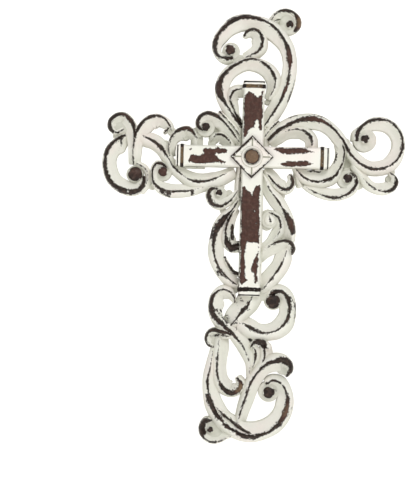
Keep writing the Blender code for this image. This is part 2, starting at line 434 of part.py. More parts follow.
def add_turned(mesh, x, z, profile, steps, turn=0.0):
    """A turned form on an axis along Y: the profile lists radius and height above the back."""
    form = bmesh.new()
    verts = [form.verts.new((radius, -height, 0.0)) for radius, height in profile]
    edges = [form.edges.new(pair) for pair in zip(verts, verts[1:])]
    bmesh.ops.spin(
        form, geom=verts + edges, cent=(0.0, 0.0, 0.0), axis=(0.0, 1.0, 0.0), dvec=(0.0, 0.0, 0.0),
        angle=2.0 * math.pi, steps=steps, use_merge=True, use_duplicate=False)
    bmesh.ops.remove_doubles(form, verts=form.verts[:], dist=MERGE)
    bmesh.ops.recalc_face_normals(form, faces=form.faces[:])
    bmesh.ops.rotate(form, verts=form.verts[:], cent=(0.0, 0.0, 0.0), matrix=Matrix.Rotation(turn, 3, "Y"))
    bmesh.ops.translate(form, verts=form.verts[:], vec=(x, 0.0, z))
    data = bpy.data.meshes.new("turned_form")
    form.to_mesh(data)
    form.free()
    mesh.from_mesh(data)
    bpy.data.meshes.remove(data)


def span(middle, width):
    """The two edges of a width about its middle."""
    return middle - width / 2.0, middle + width / 2.0


def add_box(mesh, x_edges, z_edges, heights, chamfer=0.0):
    """A box between two values each way; heights are above the back."""
    made = bmesh.ops.create_cube(mesh, size=1.0)
    size = [b - a for a, b in (x_edges, heights, z_edges)]
    middle = Matrix.Translation((sum(x_edges) / 2.0, -sum(heights) / 2.0, sum(z_edges) / 2.0))
    bmesh.ops.transform(mesh, matrix=middle @ Matrix.Diagonal((*size, 1.0)), verts=made["verts"])
    if chamfer > 0.0:
        own = set(made["verts"])
        edges = [edge for edge in mesh.edges if own.issuperset(edge.verts)]
        bmesh.ops.bevel(
            mesh, geom=edges, offset=chamfer, offset_type="OFFSET", segments=1, profile=0.5,
            affect="EDGES", clamp_overlap=True)


def bar_ends():
    """The four ends of the plain cross: on the upright or not, edges across, place, way inwards."""
    upright = span(UPRIGHT_MIDDLE * PLAN, UPRIGHT_WIDTH * PLAN)
    arm = span(ARM_MIDDLE * PLAN, ARM_WIDTH * PLAN)
    return {
        "top": (True, upright, UPRIGHT_TOP * PLAN, -1.0),
        "foot": (True, upright, UPRIGHT_FOOT * PLAN, 1.0),
        "left": (False, arm, ARM_LEFT * PLAN, 1.0),
        "right": (False, arm, ARM_RIGHT * PLAN, -1.0),
    }


def add_across(mesh, end, inset, length, spread, heights, chamfer=0.0):
    """A box laid across a bar near its end: a collar there, or the cutter of a groove."""
    on_upright, edges, place, inwards = end
    across = (edges[0] - spread, edges[1] + spread)
    run = span(place + inwards * inset, length)
    if on_upright:
        add_box(mesh, across, run, heights, chamfer)
    else:
        add_box(mesh, run, across, heights, chamfer)


def object_from(mesh, name, collection):
    data = bpy.data.meshes.new(name)
    mesh.to_mesh(data)
    mesh.free()
    thing = bpy.data.objects.new(name, data)
    collection.objects.link(thing)
    return thing


def painted():
    material = bpy.data.materials.new("worn_ivory_paint")
    material.use_nodes = True
    shader = material.node_tree.nodes["Principled BSDF"]
    shader.inputs["Base Color"].default_value = (0.79, 0.76, 0.69, 1.0)
    shader.inputs["Metallic"].default_value = 0.0
    shader.inputs["Roughness"].default_value = 0.62
    return material


def feet():
    """Heights of the hidden feet behind the back, each a little deeper than the one before."""
    depth = BEHIND
    while True:
        yield -depth
        depth += FOOT_STEP


def add_plain_cross(mesh, foot):
    upright = span(UPRIGHT_MIDDLE * PLAN, UPRIGHT_WIDTH * PLAN)
    arm = span(ARM_MIDDLE * PLAN, ARM_WIDTH * PLAN)
    add_box(
        mesh, upright, (UPRIGHT_FOOT * PLAN, UPRIGHT_TOP * PLAN), (next(foot), BAR_DEPTH), BAR_CHAMFER)
    add_box(
        mesh, (ARM_LEFT * PLAN, ARM_RIGHT * PLAN), arm, (next(foot), BAR_DEPTH - BAR_STEP), BAR_CHAMFER)
    for name, end in bar_ends().items():
        add_across(
            mesh, end, END_INSETS[name][0], COLLAR_LENGTH, COLLAR_SWELL,
            (next(foot), BAR_DEPTH + COLLAR_RISE), COLLAR_CHAMFER)


def add_diamond(mesh, foot):
    face = DIAMOND_DEPTH - DIAMOND_SINK
    corner = DIAMOND_REACH * PLAN
    profile = [
        (0.0, foot), (corner, foot), (corner, BAR_DEPTH - DIAMOND_SHOULDER),
        (corner - 0.5 * DIAMOND_RIM, DIAMOND_DEPTH), (corner - 1.5 * DIAMOND_RIM, DIAMOND_DEPTH),
        (corner - 2.3 * DIAMOND_RIM, face), (0.0, face)]
    add_turned(mesh, 0.0, 0.0, profile, 4)
    ring = RING_RADIUS * PLAN
    stud = STUD_RADIUS * PLAN
    gap = ring - stud
    rise = STUD_DEPTH - face
    profile = [
        (0.0, RING_FOOT), (ring, RING_FOOT), (ring, face + 0.2 * rise),
        (ring - 0.35 * gap, face + 0.36 * rise), (stud + 0.2 * gap, face + 0.12 * rise),
        (stud, face + 0.3 * rise), (0.85 * stud, face + 0.68 * rise), (0.5 * stud, face + 0.92 * rise),
        (0.0, STUD_DEPTH)]
    add_turned(mesh, 0.0, 0.0, profile, STUD_SIDES, math.pi / STUD_SIDES)


def build_body(collection):
    mesh = bmesh.new()
    foot = feet()
    for side, heights, knots in SCROLLS.values():
        add_scroll(mesh, side, heights, knots, next(foot))
    for x, z, radius, depth in GROUNDS:
        r = radius * MM * PLAN
        top = depth * MM * RELIEF
        low = next(foot)
        profile = [(0.0, low), (r, low), (r, top), (0.0, top)]
        sides = SMALL_GROUND_SIDES if radius * MM < SMALL_GROUND else GROUND_SIDES
        add_turned(mesh, x * MM * PLAN, z * MM * PLAN, profile, sides)
    for x, z, radius, depth in EYES:
        r = radius * MM * PLAN
        top = depth * MM * RELIEF
        dome = EYE_DOME * r
        low = next(foot)
        profile = [
            (0.0, low), (r, low), (r, top - dome), (0.86 * r, top - 0.45 * dome),
            (0.5 * r, top - 0.1 * dome), (0.0, top)]
        add_turned(mesh, x * MM * PLAN, z * MM * PLAN, profile, EYE_SIDES)
    add_plain_cross(mesh, foot)
    add_diamond(mesh, next(foot))
    bmesh.ops.triangulate(mesh, faces=mesh.faces[:])
    body = object_from(mesh, "scroll_cross", collection)
    body.data.shade_smooth()
    body.data.set_sharp_from_angle(angle=SHARP_ANGLE)
    body.data.materials.append(painted())
    return body


def build_cutters(collection):
    """Grooves before the four ends of the plain cross, and the four rays on the diamond."""
    mesh = bmesh.new()
    high = STUD_DEPTH + CUT_CLEAR
    spread = COLLAR_SWELL + CUT_CLEAR
    for name, end in bar_ends().items():
        groove, line = END_INSETS[name]
        add_across(mesh, end, groove, GROOVE_WIDTH, spread, (BAR_DEPTH - GROOVE_DEPTH, high))
        add_across(mesh, end, line, LINE_WIDTH, spread, (BAR_DEPTH - LINE_DEPTH, high))
    heights = (DIAMOND_DEPTH - DIAMOND_SINK - RAY_DEPTH, high)
    near = RING_RADIUS * PLAN + RAY_GAP
    far = DIAMOND_REACH * PLAN - RAY_STOP * DIAMOND_RIM
    for run in ((near, far), (-far, -near)):
        add_box(mesh, run, span(0.0, RAY_WIDTH), heights)
        add_box(mesh, span(0.0, RAY_WIDTH), run, heights)
    return as_cutter(object_from(mesh, "cut_grooves", collection))


def build_front_space(collection):
    """Everything in front of the flat back."""
    mesh = bmesh.new()
    wide = span(0.0, 2.0 * CROSS_HEIGHT)
    add_box(mesh, wide, wide, (0.0, STUD_DEPTH + CUT_CLEAR))
    return as_cutter(object_from(mesh, "front_space", collection))


def as_cutter(thing):
    thing.hide_render = True
    thing.display_type = "WIRE"
    return thing


def combine(body, other, operation):
    step = body.modifiers.new(operation.lower(), "BOOLEAN")
    step.operation = operation
    step.solver = "EXACT"
    step.use_self = True
    step.object = other


def main():
    clear_scene()
    parts = bpy.data.collections.new("ornate_wall_cross")
    cutters = bpy.data.collections.new("cutters")
    bpy.context.scene.collection.children.link(parts)
    bpy.context.scene.collection.children.link(cutters)
    body = build_body(parts)
    combine(body, build_cutters(cutters), "DIFFERENCE")
    combine(body, build_front_space(cutters), "INTERSECT")


main()
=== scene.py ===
import json
import math

import bmesh
import bpy
import numpy as np
from mathutils import Matrix, Vector

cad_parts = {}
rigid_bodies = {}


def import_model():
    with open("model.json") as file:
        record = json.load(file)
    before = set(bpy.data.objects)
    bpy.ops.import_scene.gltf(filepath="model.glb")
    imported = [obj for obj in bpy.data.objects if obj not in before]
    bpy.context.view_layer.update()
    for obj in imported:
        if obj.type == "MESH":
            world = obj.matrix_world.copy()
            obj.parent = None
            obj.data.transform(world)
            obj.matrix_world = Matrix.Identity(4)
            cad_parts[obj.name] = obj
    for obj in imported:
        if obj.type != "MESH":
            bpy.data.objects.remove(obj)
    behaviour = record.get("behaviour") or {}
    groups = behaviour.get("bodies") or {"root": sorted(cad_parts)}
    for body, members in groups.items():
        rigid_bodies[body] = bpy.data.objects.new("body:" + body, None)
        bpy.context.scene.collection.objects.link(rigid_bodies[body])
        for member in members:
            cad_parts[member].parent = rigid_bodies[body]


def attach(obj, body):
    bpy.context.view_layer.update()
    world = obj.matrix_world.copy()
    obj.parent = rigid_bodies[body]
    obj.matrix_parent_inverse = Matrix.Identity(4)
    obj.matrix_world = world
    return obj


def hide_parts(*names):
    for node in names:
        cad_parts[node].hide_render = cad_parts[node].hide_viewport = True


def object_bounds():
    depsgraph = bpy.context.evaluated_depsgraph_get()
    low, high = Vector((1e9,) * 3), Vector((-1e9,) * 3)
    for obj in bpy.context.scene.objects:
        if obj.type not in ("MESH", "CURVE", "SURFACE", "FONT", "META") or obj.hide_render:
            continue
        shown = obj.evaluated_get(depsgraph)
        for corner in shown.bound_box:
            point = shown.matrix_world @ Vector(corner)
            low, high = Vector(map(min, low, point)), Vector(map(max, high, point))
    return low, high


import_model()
cadLow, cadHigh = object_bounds()

mm = 0.001
drawnHeight = 309.8     # the scroll plan below is drawn this tall, in mm from the middle of the diamond
drawn = (cadHigh.z - cadLow.z) / drawnHeight        # metres for one drawn mm

# what the carving is made to: sizes in mm, unless a note says otherwise
carving = {
    "coveDrop": 5.6,            # most a hollow falls from its ridge to its inner edge
    "coveSlope": 0.9,           # fall of a hollow for each mm of its width
    "coveBend": 2.4,            # how much of that fall lies close under the ridge
    "coveStart": 0.5,           # fall of the narrowest hollow
    "flankStep": 1.4,           # least fall of an outer flank
    "flankSlope": 0.75,         # and what each mm of its width adds
    "flankShare": 0.45,         # an outer flank never falls more than this share of its ridge's height
    "crestRound": 0.42,
    "outerRound": 0.9,
    "innerRound": 0.8,
    "leastWidth": 0.5,          # of a hollow or a flank
    "longStep": 1.35,           # spacing of the sections on a straight run
    "shortStep": 0.6,           # and in the tightest curl
    "bendStep": 0.15,           # radians turned between two sections
    "bendShare": 0.8,           # a hollow is no wider than this share of the bend it lies in
    "fade": 0.16,               # share of a scroll over which its ridge sinks to its end height
    "bareExtra": 0.16,          # rubbing reaches this much wider than the widths listed below
    "wearFrom": 4.0,            # spots and strokes mark only what stands higher than this above the back
    "grimeAndShadeFall": 9.0,           # dirt and painted shade grow with the fall from the ridge, up to this much
    "flankGrimeAndShade": 0.5, "coveGrimeAndShade": 0.25, "footGrimeAndShade": 0.6, "footFrom": 0.62,    # shares of dirt and painted shade
    "lowPaintedShade": 0.3,            # painted shade: how much darker the paint gets towards the back
    "groundSides": 32, "eyeSides": 28, "studSides": 48,
    "eyeDome": 0.55,            # height of an eye's dome as a share of its radius
    "sharpAngle": 38,           # edges that bend more than this many degrees stay crisp
}

# Each scroll: side of the hollow (1 left, -1 right of the way drawn), ridge height at its start, along it
# and at its end, then the ridge: x, z, width of the hollow, width of the outer flank, width rubbed bare.
scrolls = {
    "leftC": (1, (9.5, 12.0, 9.5), [
        (-90.5, 13.2, 6, 2.2, 1.5), (-96, 9.8, 9.5, 1.9, 2.2), (-101.2, 4.2, 8.4, 2.2, 2.3),
        (-103.5, -3.5, 7.6, 2.2, 2.5), (-103, -11.5, 8, 2.3, 2.6), (-99.3, -19.8, 8.3, 2.4, 2.8),
        (-92.5, -25, 8.3, 2.4, 3.6), (-85, -26.9, 7.5, 2.6, 4.2), (-79.2, -25, 6, 2.5, 3.6),
        (-76.2, -20.5, 4, 1.8, 3), (-75.8, -15.5, 2, 1.2, 2.4)]),
    "leftHook": (1, (9.0, 12.0, 9.0), [
        (-83.8, -6.5, 3.4, 0.8, 1.2), (-84, 1, 3.5, 0.8, 1.3), (-83.4, 9, 5, 0.8, 1.1),
        (-83.6, 17, 7, 2.4, 1.6), (-86, 23.8, 8, 2.2, 2.8), (-91, 28, 8, 1.9, 2.8),
        (-96.5, 27.3, 7, 1.8, 2.4), (-100.8, 23.3, 6, 1.4, 2.6), (-101, 18, 4, 1.3, 2.4),
        (-97.5, 14.8, 2, 0.8, 1.6)]),
    "leftHookLip": (1, (9.0, 10.0, 9.0), [
        (-98.5, 14.8, 1.5, 1.5, 0.6), (-95.3, 15.2, 2, 1.8, 1.2), (-91.5, 17.3, 2, 2, 1)]),
    "leftArch": (-1, (9.3, 12.2, 8.5), [
        (-83.7, -7, 5, 0.9, 1), (-83.9, 1, 5.7, 0.9, 1.1), (-83.2, 9, 6, 0.9, 1.1),
        (-81.8, 16, 7.5, 1.6, 1.6), (-78.3, 21.8, 8.3, 1.8, 2.2), (-73.5, 26.3, 8.6, 1.7, 2.3),
        (-67.5, 27.7, 9.2, 1.6, 1.5), (-62.3, 25.8, 7.8, 1.8, 1.5), (-59.2, 22, 5, 2.8, 1.2),
        (-57.6, 18.5, 2.5, 2.5, 0.2)]),
    "leftArchLip": (-1, (8.0, 9.0, 7.5), [
        (-59.3, 19.5, 1.5, 1.5, 0.8), (-61, 17.4, 1.5, 1.5, 1.1), (-62.5, 15.8, 1, 1, 0.8)]),
    "leftStrap": (1, (8.5, 9.0, 8.0), [
        (-81, -6.5, 2.5, 2, 0), (-75.5, -9.3, 2.5, 2.3, 0), (-73, -14.5, 2.4, 2.4, 0),
        (-73.8, -20, 3, 2.5, 0), (-78, -26.5, 2.5, 1.5, 0)]),
    "leftSlant": (1, (8.5, 11.5, 9.0), [
        (-78.5, 13.8, 1.5, 6, 0), (-74, 11.9, 4.5, 6.5, 0.9), (-69, 9.2, 5.8, 5.5, 2.1),
        (-63.5, 4.8, 5.4, 5.2, 2.4), (-59, -1.7, 3.5, 5, 1.1), (-54.5, -8.5, 4, 4.5, 1.2),
        (-48.5, -13.8, 5.3, 4.5, 1.5), (-41.5, -17.4, 6.2, 6, 1.2), (-34, -18, 6, 6.5, 1.7),
        (-27, -16.3, 5.4, 6.6, 1.1), (-21.5, -13.8, 4, 6.8, 0.7), (-13, -9.5, 3, 6, -1)]),
    "leftLowCurl": (1, (9.5, 12.0, 8.0), [
        (-60, -9, 1, 1.5, 0.8), (-62.7, -6.6, 3, 2, 1.8), (-66.5, -6.2, 4.5, 2.4, 2),
        (-69.3, -9.5, 5, 2, 1.3), (-69.9, -14.5, 5.5, 1, 1.2), (-68.6, -19.5, 5.6, 1.6, 1.5),
        (-64.5, -23.6, 5.6, 3.3, 2), (-58, -25.4, 5.6, 4.3, 1.2), (-50, -25.2, 5, 4.5, 1.3),
        (-44.5, -24.9, 5, 4, 1.5), (-41.5, -24.5, 5.4, 3.7, 0), (-32, -21.5, 5, 3, -1)]),
    "leftLoop": (-1, (9.0, 11.6, 9.0), [
        (-58, -0.5, 4, 1, 0.9), (-58.9, 4.5, 4.8, 0.8, 1.1), (-58, 11, 5.5, 0.8, 1.1),
        (-54.8, 16, 7, 1.4, 1.3), (-50, 18.9, 8.3, 1.7, 2.6), (-45.5, 19.3, 8, 2.1, 3.2),
        (-42, 16.5, 6, 2.4, 2), (-39.5, 13, 3, 2, 0.2)]),
    "leftWeb": (1, (8.5, 8.5, 8.5), [
        (-39.5, 14, 4.7, 4, -1), (-39.3, 10, 4.8, 4.2, -1), (-39.3, 5, 4.8, 4.2, -1)]),
    "leftLedge": (1, (7.6, 7.6, 7.6), [
        (-47, -7.8, 1.2, 0.8, -1), (-40, -8, 1.2, 0.8, -1), (-33, -8, 1.2, 0.8, -1)]),
    "upperCurl": (1, (9.0, 12.0, 9.0), [
        (-9.5, 11.3, 3, 2, 0.6), (-13.3, 16, 5, 2.5, 1), (-17.3, 21.2, 6.5, 2.5, 1.2),
        (-22.3, 26, 6.5, 3, 1.8), (-27.5, 29.4, 5.5, 2.2, 2.5), (-32.5, 30.3, 5, 2, 2.4),
        (-36.8, 28, 4.5, 1.9, 2.2), (-38.8, 24, 3.5, 1.8, 2.6), (-37.8, 20.2, 2, 1.6, 2.4),
        (-35, 18.5, 1, 0.8, 2)]),
    "upperVein": (1, (9.0, 10.0, 8.5), [
        (-8.5, 14.5, 2, 2, 0), (-12.8, 20.3, 2.5, 3, 0.5), (-17.5, 25.7, 2.5, 3.2, 0.6),
        (-23.8, 31.8, 1, 1.6, 0.7)]),
    "upperRoot": (1, (8.2, 8.2, 8.2), [
        (-8.5, 6, 3, 3, -1), (-9, 16, 3, 3, -1), (-8.5, 24, 2, 2, -1)]),
    "upperSmallArch": (-1, (8.5, 9.6, 8.5), [
        (-28.3, 12, 4, 3.2, 0.3), (-26, 14.8, 5.6, 2.5, 1), (-23, 15.7, 6.3, 2.5, 1.1),
        (-19.8, 14.6, 6, 2.5, 1), (-16, 11, 5, 3, 0.3), (-13.8, 6, 3, 3, -1)]),
    "upperArch": (-1, (9.0, 12.5, 8.5), [
        (-7.8, 21.5, 2, 3, 1.8), (-11.3, 26.3, 3, 4, 1.8), (-15.5, 31.5, 3.5, 4.5, 1.2),
        (-20, 38, 5, 4, 2), (-23.6, 44, 6.5, 3.1, 4.6), (-24.4, 50, 7.5, 2.8, 5),
        (-22.3, 56, 7.2, 2.9, 3), (-17.5, 61.8, 6.6, 3, 1.9), (-11, 66, 6.2, 2.2, 1.8),
        (-4.5, 68.9, 7, 1.7, 1.5), (2, 68.7, 7.5, 1.8, 1.3), (8.3, 65.5, 7, 3.2, 1.4),
        (13, 60.3, 6.5, 4.6, 2), (15.2, 54.5, 6, 4.6, 1.4), (14.3, 48.3, 5, 4, 0.8),
        (11.5, 42.5, 3.5, 3, -0.6)]),
    "upperLeaf": (-1, (9.0, 10.5, 9.0), [
        (-8, 23.5, 2, 1.5, 2.4), (-11.5, 29.3, 2.5, 1.5, 1.6), (-14, 35, 4.3, 2, 1.2),
        (-16.2, 40.5, 6, 2.5, 1), (-15, 45, 6.2, 4, 1.2), (-12, 47.5, 5.6, 4, 1),
        (-6, 48, 5, 3.6, -0.5)]),
    "topScroll": (1, (9.0, 12.5, 9.0), [
        (9, 23.5, 2.5, 5, 0.8), (13.3, 30.3, 5.6, 5.8, 1.4), (17.5, 36.8, 5.9, 5.8, 1.2),
        (21, 44.3, 7.5, 5.6, 1.8), (23.8, 53, 5.5, 5.6, 2.4), (24.9, 62, 4.5, 5.7, 1.4),
        (25, 70, 4.5, 5.4, 3.4), (22.9, 78.5, 5, 5.4, 2.8), (19, 85.7, 6.8, 5, 2),
        (13.8, 91.8, 8.5, 4.5, 2.2), (7, 96.3, 8.5, 3, 1.4), (-1, 98.3, 8, 2.5, 2.2),
        (-9, 98.5, 8.5, 3, 2.6), (-16.3, 96, 8.5, 3, 2.6), (-22.3, 90.8, 7.6, 2.2, 2.2),
        (-26.7, 84.5, 7, 2.2, 3), (-28.2, 77.8, 5, 2, 3.4), (-26.3, 72, 4, 1.4, 2.6),
        (-21, 69.6, 3, 3.2, 2.6), (-15.5, 70.2, 1.5, 4.3, 2.2)]),
    "topInner": (-1, (8.5, 11.5, 9.0), [
        (-7.6, 86, 2, 1, 1.6), (-5.3, 89.2, 5, 1.2, 2), (-1.5, 90.6, 6.3, 1.5, 2), (2.7, 88.8, 7, 2, 2.2),
        (5.1, 84.5, 7.4, 3.8, 1.9), (4.9, 79, 6.8, 4.8, 1.9), (2.3, 75, 6, 4, 1.6),
        (-2, 72.3, 5, 3.5, 0.8), (-6.5, 70.5, 4, 2, 0)]),
    "topCurl": (-1, (8.5, 11.6, 9.0), [
        (12, 98.5, 2, 2.2, 0.9), (14.3, 101.8, 4, 1.5, 1.1), (18.5, 104, 5.5, 1.8, 1.5),
        (23, 104.2, 5.5, 1.9, 1.7), (27.8, 102.2, 5, 1.5, 2.2), (31, 98.2, 4.5, 1.5, 3.8),
        (31, 93.5, 4, 1.5, 4.2), (28, 90.3, 2.5, 1.4, 3)]),
    "rightArch": (-1, (9.0, 12.5, 9.5), [
        (12, 13, 2, 3, 2), (17, 18, 3.5, 4.2, 2.5), (23, 22.3, 4.5, 4.8, 2.5), (30, 25.8, 5.5, 5, 2.4),
        (37, 27.8, 6.5, 4.4, 3.2), (44, 28.1, 7, 4, 3.5), (51, 25.9, 6.2, 3.6, 2.3),
        (57.5, 21, 5.5, 3.6, 1.8), (63, 14.8, 5.7, 3.6, 1.3), (67.2, 8.3, 5, 2.8, 2),
        (70.5, 3.3, 3, 1.5, 2.2)]),
    "rightLoop": (1, (9.5, 12.5, 9.0), [
        (64, 13.3, 4, 2.5, 1.2), (67.2, 8.3, 5, 2.5, 2), (71.5, 2.2, 5.5, 4, 2),
        (77.5, -2.8, 5.5, 4.5, 1.6), (84.5, -5.9, 5.7, 4.5, 2.6), (91.5, -5.6, 5.9, 4.9, 2),
        (98, -3.3, 6.3, 4.8, 1.2), (103.3, 1.8, 6.8, 3.6, 1.3), (106, 8.5, 6.7, 2.3, 2),
        (105.9, 15.5, 6.6, 2, 1.8), (102.8, 22.3, 6.9, 2.1, 1.3), (97.3, 27.3, 7.5, 1.8, 1.4),
        (90.5, 28.9, 7.4, 2.3, 1.7), (83.5, 28, 7, 1.9, 2.3), (77.8, 24.3, 6, 1.3, 2.8),
        (74.2, 19, 4, 3.4, 2.5), (74.5, 14.3, 2, 4.4, 2)]),
    "rightVein": (-1, (8.5, 9.5, 8.0), [
        (8, 13.5, 2.5, 3, 0.3), (11, 17.8, 3.5, 3.5, 0.5), (14.5, 22, 3.5, 3.5, 0.6),
        (18.3, 25.8, 2, 2, 0.9)]),
    "rightRoot": (-1, (8.2, 8.2, 8.2), [
        (10, 5, 3, 3, -1), (9.5, 16, 2.5, 2.5, -1), (8.5, 25, 2, 2, -1)]),
    "rightLeaf": (-1, (8.5, 10.5, 9.0), [
        (13, 11, 4.5, 2, -1), (18, 15.8, 6, 2, -1), (24, 19, 5.5, 2, -0.5), (30, 20.5, 6, 2.2, 1),
        (35, 20.1, 5.8, 3, 1.3), (39.4, 17.6, 5.5, 4.2, 1.8), (42, 13.6, 4.5, 4.8, 1.6),
        (42.4, 6, 4, 4.8, -1)]),
    "rightLowLoop": (1, (8.5, 12.0, 9.5), [
        (31, -6.5, 2, 2, 0.5), (34.5, -10.8, 5, 3.5, 1.1), (39.5, -14.4, 7.5, 4, 1.1),
        (45.5, -16, 9.5, 4, 1.2), (52, -15.4, 9.3, 4.6, 1.6), (58, -12.7, 7, 4.6, 2),
        (62, -7, 6, 2.8, 1.4), (64.7, -0.5, 5.6, 1.2, 1.1), (65.2, 6, 5.6, 1.2, 1),
        (63.5, 12, 5, 1, 0.6)]),
    "rightWeb": (1, (8.0, 8.0, 8.0), [
        (32.5, -6, 3, 2, -1), (32.8, -13, 3, 2.5, -1), (35.5, -19, 3, 3, -1)]),
    "rightLowCurl": (1, (8.5, 12.0, 9.0), [
        (38, -19.5, 2.5, 1.5, -1.4), (44.5, -23.2, 4.5, 2, 0.3), (52, -25.8, 6, 2.3, 1.4),
        (60, -27.2, 6.8, 2, 2.3), (67, -25, 6, 2.8, 1.3), (72.3, -20.6, 4.5, 3.3, 2),
        (74.6, -15.5, 3.5, 2.4, 1.8), (73.7, -11.2, 2.5, 1.2, 1.6), (70.3, -9.2, 1.5, 1, 1.3)]),
    "rightTail": (1, (9.0, 11.0, 8.5), [
        (72, -3, 3, 3, -1), (76.5, -9, 4, 3.5, -1), (80.5, -14.3, 4, 3.5, -0.6),
        (85.5, -18.6, 4, 3.2, 1.2), (91, -21.3, 6.2, 2.6, 1.2), (96.5, -21.7, 7, 2.2, 1.6),
        (101.2, -19.3, 7, 1.6, 2.6), (103.3, -14.8, 6, 1.3, 2.4), (101.8, -10.8, 3, 0.9, 1.2),
        (98.5, -8.5, 1.5, 1, 0.8)]),
    "crossingHook": (1, (9.0, 11.5, 9.0), [
        (9.5, -9, 5, 2, -1.4), (13.5, -14, 6, 2.5, 0.6), (18, -19, 6, 3, 1.2), (23, -21.8, 6.5, 3.6, 2.2),
        (27, -21.6, 5.5, 3.2, 2.6), (29.3, -18, 4, 2.2, 2.4), (29.2, -14.5, 3, 1.5, 2),
        (27.6, -11.5, 2, 1.5, 1)]),
    "lowSlant": (-1, (9.0, 12.0, 8.5), [
        (8.5, -12, 3, 3, -1.5), (13.3, -22.5, 5, 3.5, 0.3), (18.3, -29.2, 5.8, 5, 1),
        (23, -36, 5, 4.7, 1.4), (27, -43, 5, 4.1, 3.6), (29.3, -50, 5.5, 3.4, 3.2),
        (30, -58.5, 5, 2.6, -3)]),
    "lowDiscArm": (-1, (9.0, 11.0, 8.5), [
        (13.5, -38.7, 3, 2, 0.4), (16.5, -39.9, 3, 3, 1), (20, -42.5, 3, 3.3, 1.2),
        (21.6, -47, 3.5, 3.6, 1.2), (21, -51.8, 5, 4.5, 0.9), (18.5, -56, 4.8, 4, -0.4),
        (14.5, -60.5, 3.6, 3, -1), (7, -66.5, 3, 3, -1)]),
    "lowHook": (-1, (8.5, 12.0, 8.5), [
        (6.5, -72, 4, 2, -1), (10.5, -66, 6, 2, -0.6), (14.5, -62.3, 7.2, 1.5, 0.9),
        (19, -59.6, 7.6, 1.2, 1.7), (24.5, -58.3, 7.2, 1, 1.7), (29, -59.5, 5, 1.6, 2.8),
        (31.2, -63.3, 4, 1.8, 2.8), (30.3, -67.6, 2, 1.6, 1.4)]),
    "lowTail": (-1, (9.0, 11.5, 8.5), [
        (27, -64, 3, 3, -1), (25, -69.5, 6.2, 6, 0.5), (22.3, -76, 6, 6.6, 1.2),
        (18.5, -82.3, 6.8, 6.2, 1.2), (14.3, -88, 7, 5.8, 1), (9, -94, 3, 5, -0.6)]),
    "lowLeftCurl": (-1, (9.0, 12.0, 9.0), [
        (-9.5, -24, 1.5, 1.5, 0), (-12.3, -28.6, 3, 2.5, 0.9), (-16.3, -32.8, 4.5, 2.5, 1.2),
        (-21, -35, 5, 2.6, 2.2), (-25.3, -34.3, 5, 2.4, 3.2), (-28.7, -30.8, 4.5, 2.4, 3.4),
        (-29.6, -26.5, 4, 2.5, 3), (-27.5, -23, 3, 1.8, 2.4), (-23.8, -22.8, 1.5, 1, 2)]),
    "lowLeftRoot": (1, (8.2, 8.2, 8.2), [
        (-8, -7, 2.5, 2.5, -1), (-9, -20, 2.5, 2.5, -1), (-8.5, -31, 2.5, 2.5, -1)]),
    "lowRightRoot": (1, (7.8, 7.8, 7.8), [
        (8, -12, 1, 1.5, -1), (8.2, -50, 1, 1.5, -1), (8.2, -90, 1, 1.5, -1)]),
    "lowLeftLong": (1, (8.5, 12.0, 8.5), [
        (-8, -29.5, 2.5, 2, 0.6), (-12.8, -37.6, 3, 3, 1.5), (-18.3, -43.3, 3, 4, 3.4),
        (-22.5, -49.5, 4, 3.8, 4.2), (-24.6, -56.5, 5.6, 3.3, 3), (-25.3, -64, 7.2, 3.9, 2),
        (-24.2, -71.5, 6.8, 4.4, 1.5), (-21.3, -78.3, 6.3, 4.4, 1.5), (-16.8, -83.8, 6, 4.9, 1.3),
        (-11.5, -88.3, 5, 5, 0.7), (-6, -91, 3, 3, -0.5)]),
    "lowLeftHook": (1, (8.5, 11.0, 9.0), [
        (-10.5, -36.3, 3.6, 1.5, 0.7), (-13.8, -42, 4.6, 2, 1.2), (-16.2, -48, 5.6, 2.3, 1.3),
        (-17.1, -54.5, 6.1, 3, 1.9), (-15.8, -60.5, 7, 3.6, 3.4), (-12.5, -64.3, 6.3, 3.3, 4.4),
        (-6, -64.5, 5, 3, 1)]),
    "lowLeftRim": (1, (8.0, 9.5, 8.0), [
        (-17.3, -71, 1, 1.5, 0.5), (-14, -77, 1.3, 1.8, 1.4), (-10.5, -81.3, 1.3, 2, 2.4),
        (-6, -83.3, 1.5, 2, 2)]),
    "tailHook": (1, (8.5, 12.0, 8.5), [
        (-9.3, -103, 1.5, 1, 0.8), (-10, -99, 5, 1.5, 1.2), (-12.8, -95.5, 7, 3.2, 1.2),
        (-17.3, -94, 8, 3.4, 1.2), (-22, -95.7, 9.5, 2.3, 1.4), (-25.3, -100, 10.5, 1.9, 2.2),
        (-26.3, -105.5, 10.5, 1.8, 3), (-24.3, -111.8, 8, 3.2, 3.4), (-19, -117.2, 4, 5, 3.4),
        (-13, -122.5, 4, 3, 2.4), (-7.5, -128, 6, 4.2, 2), (-3, -133.5, 6.5, 4.6, 1),
        (0.5, -140, 5, 4.2, 0.7), (2.3, -147, 4, 2.8, 0.4), (2.5, -156, 3, 2, -1)]),
    "tailBand": (-1, (9.0, 11.5, 9.0), [
        (4, -96.5, 9.5, 7.5, -0.6), (0.3, -103.3, 9, 7.8, 1.2), (-3.7, -108.7, 8.5, 6.8, 2),
        (-7.5, -113.6, 8.5, 6, 1), (-11.3, -118.8, 7, 5, 0.8)]),
    "tailCurl": (1, (9.0, 12.0, 9.5), [
        (-5, -116.4, 5, 8, -0.6), (1.5, -120, 6, 8, 2), (7.5, -122.9, 5.5, 7.5, 2),
        (14, -123.8, 5.8, 6, 1.2), (20.5, -121.8, 6.1, 7, 1.2), (26, -117, 6.6, 7.3, 1.4),
        (29, -110.7, 6.5, 5.6, 1.6), (29.5, -104, 7.3, 4.8, 2), (27.5, -98, 6.5, 5, 2.3),
        (23, -94.6, 4.5, 5.2, 2.6), (18, -95.2, 2.5, 4.5, 2.6), (15, -98.5, 1, 3, 2)]),
    "tailLeaf": (1, (9.0, 11.5, 8.5), [
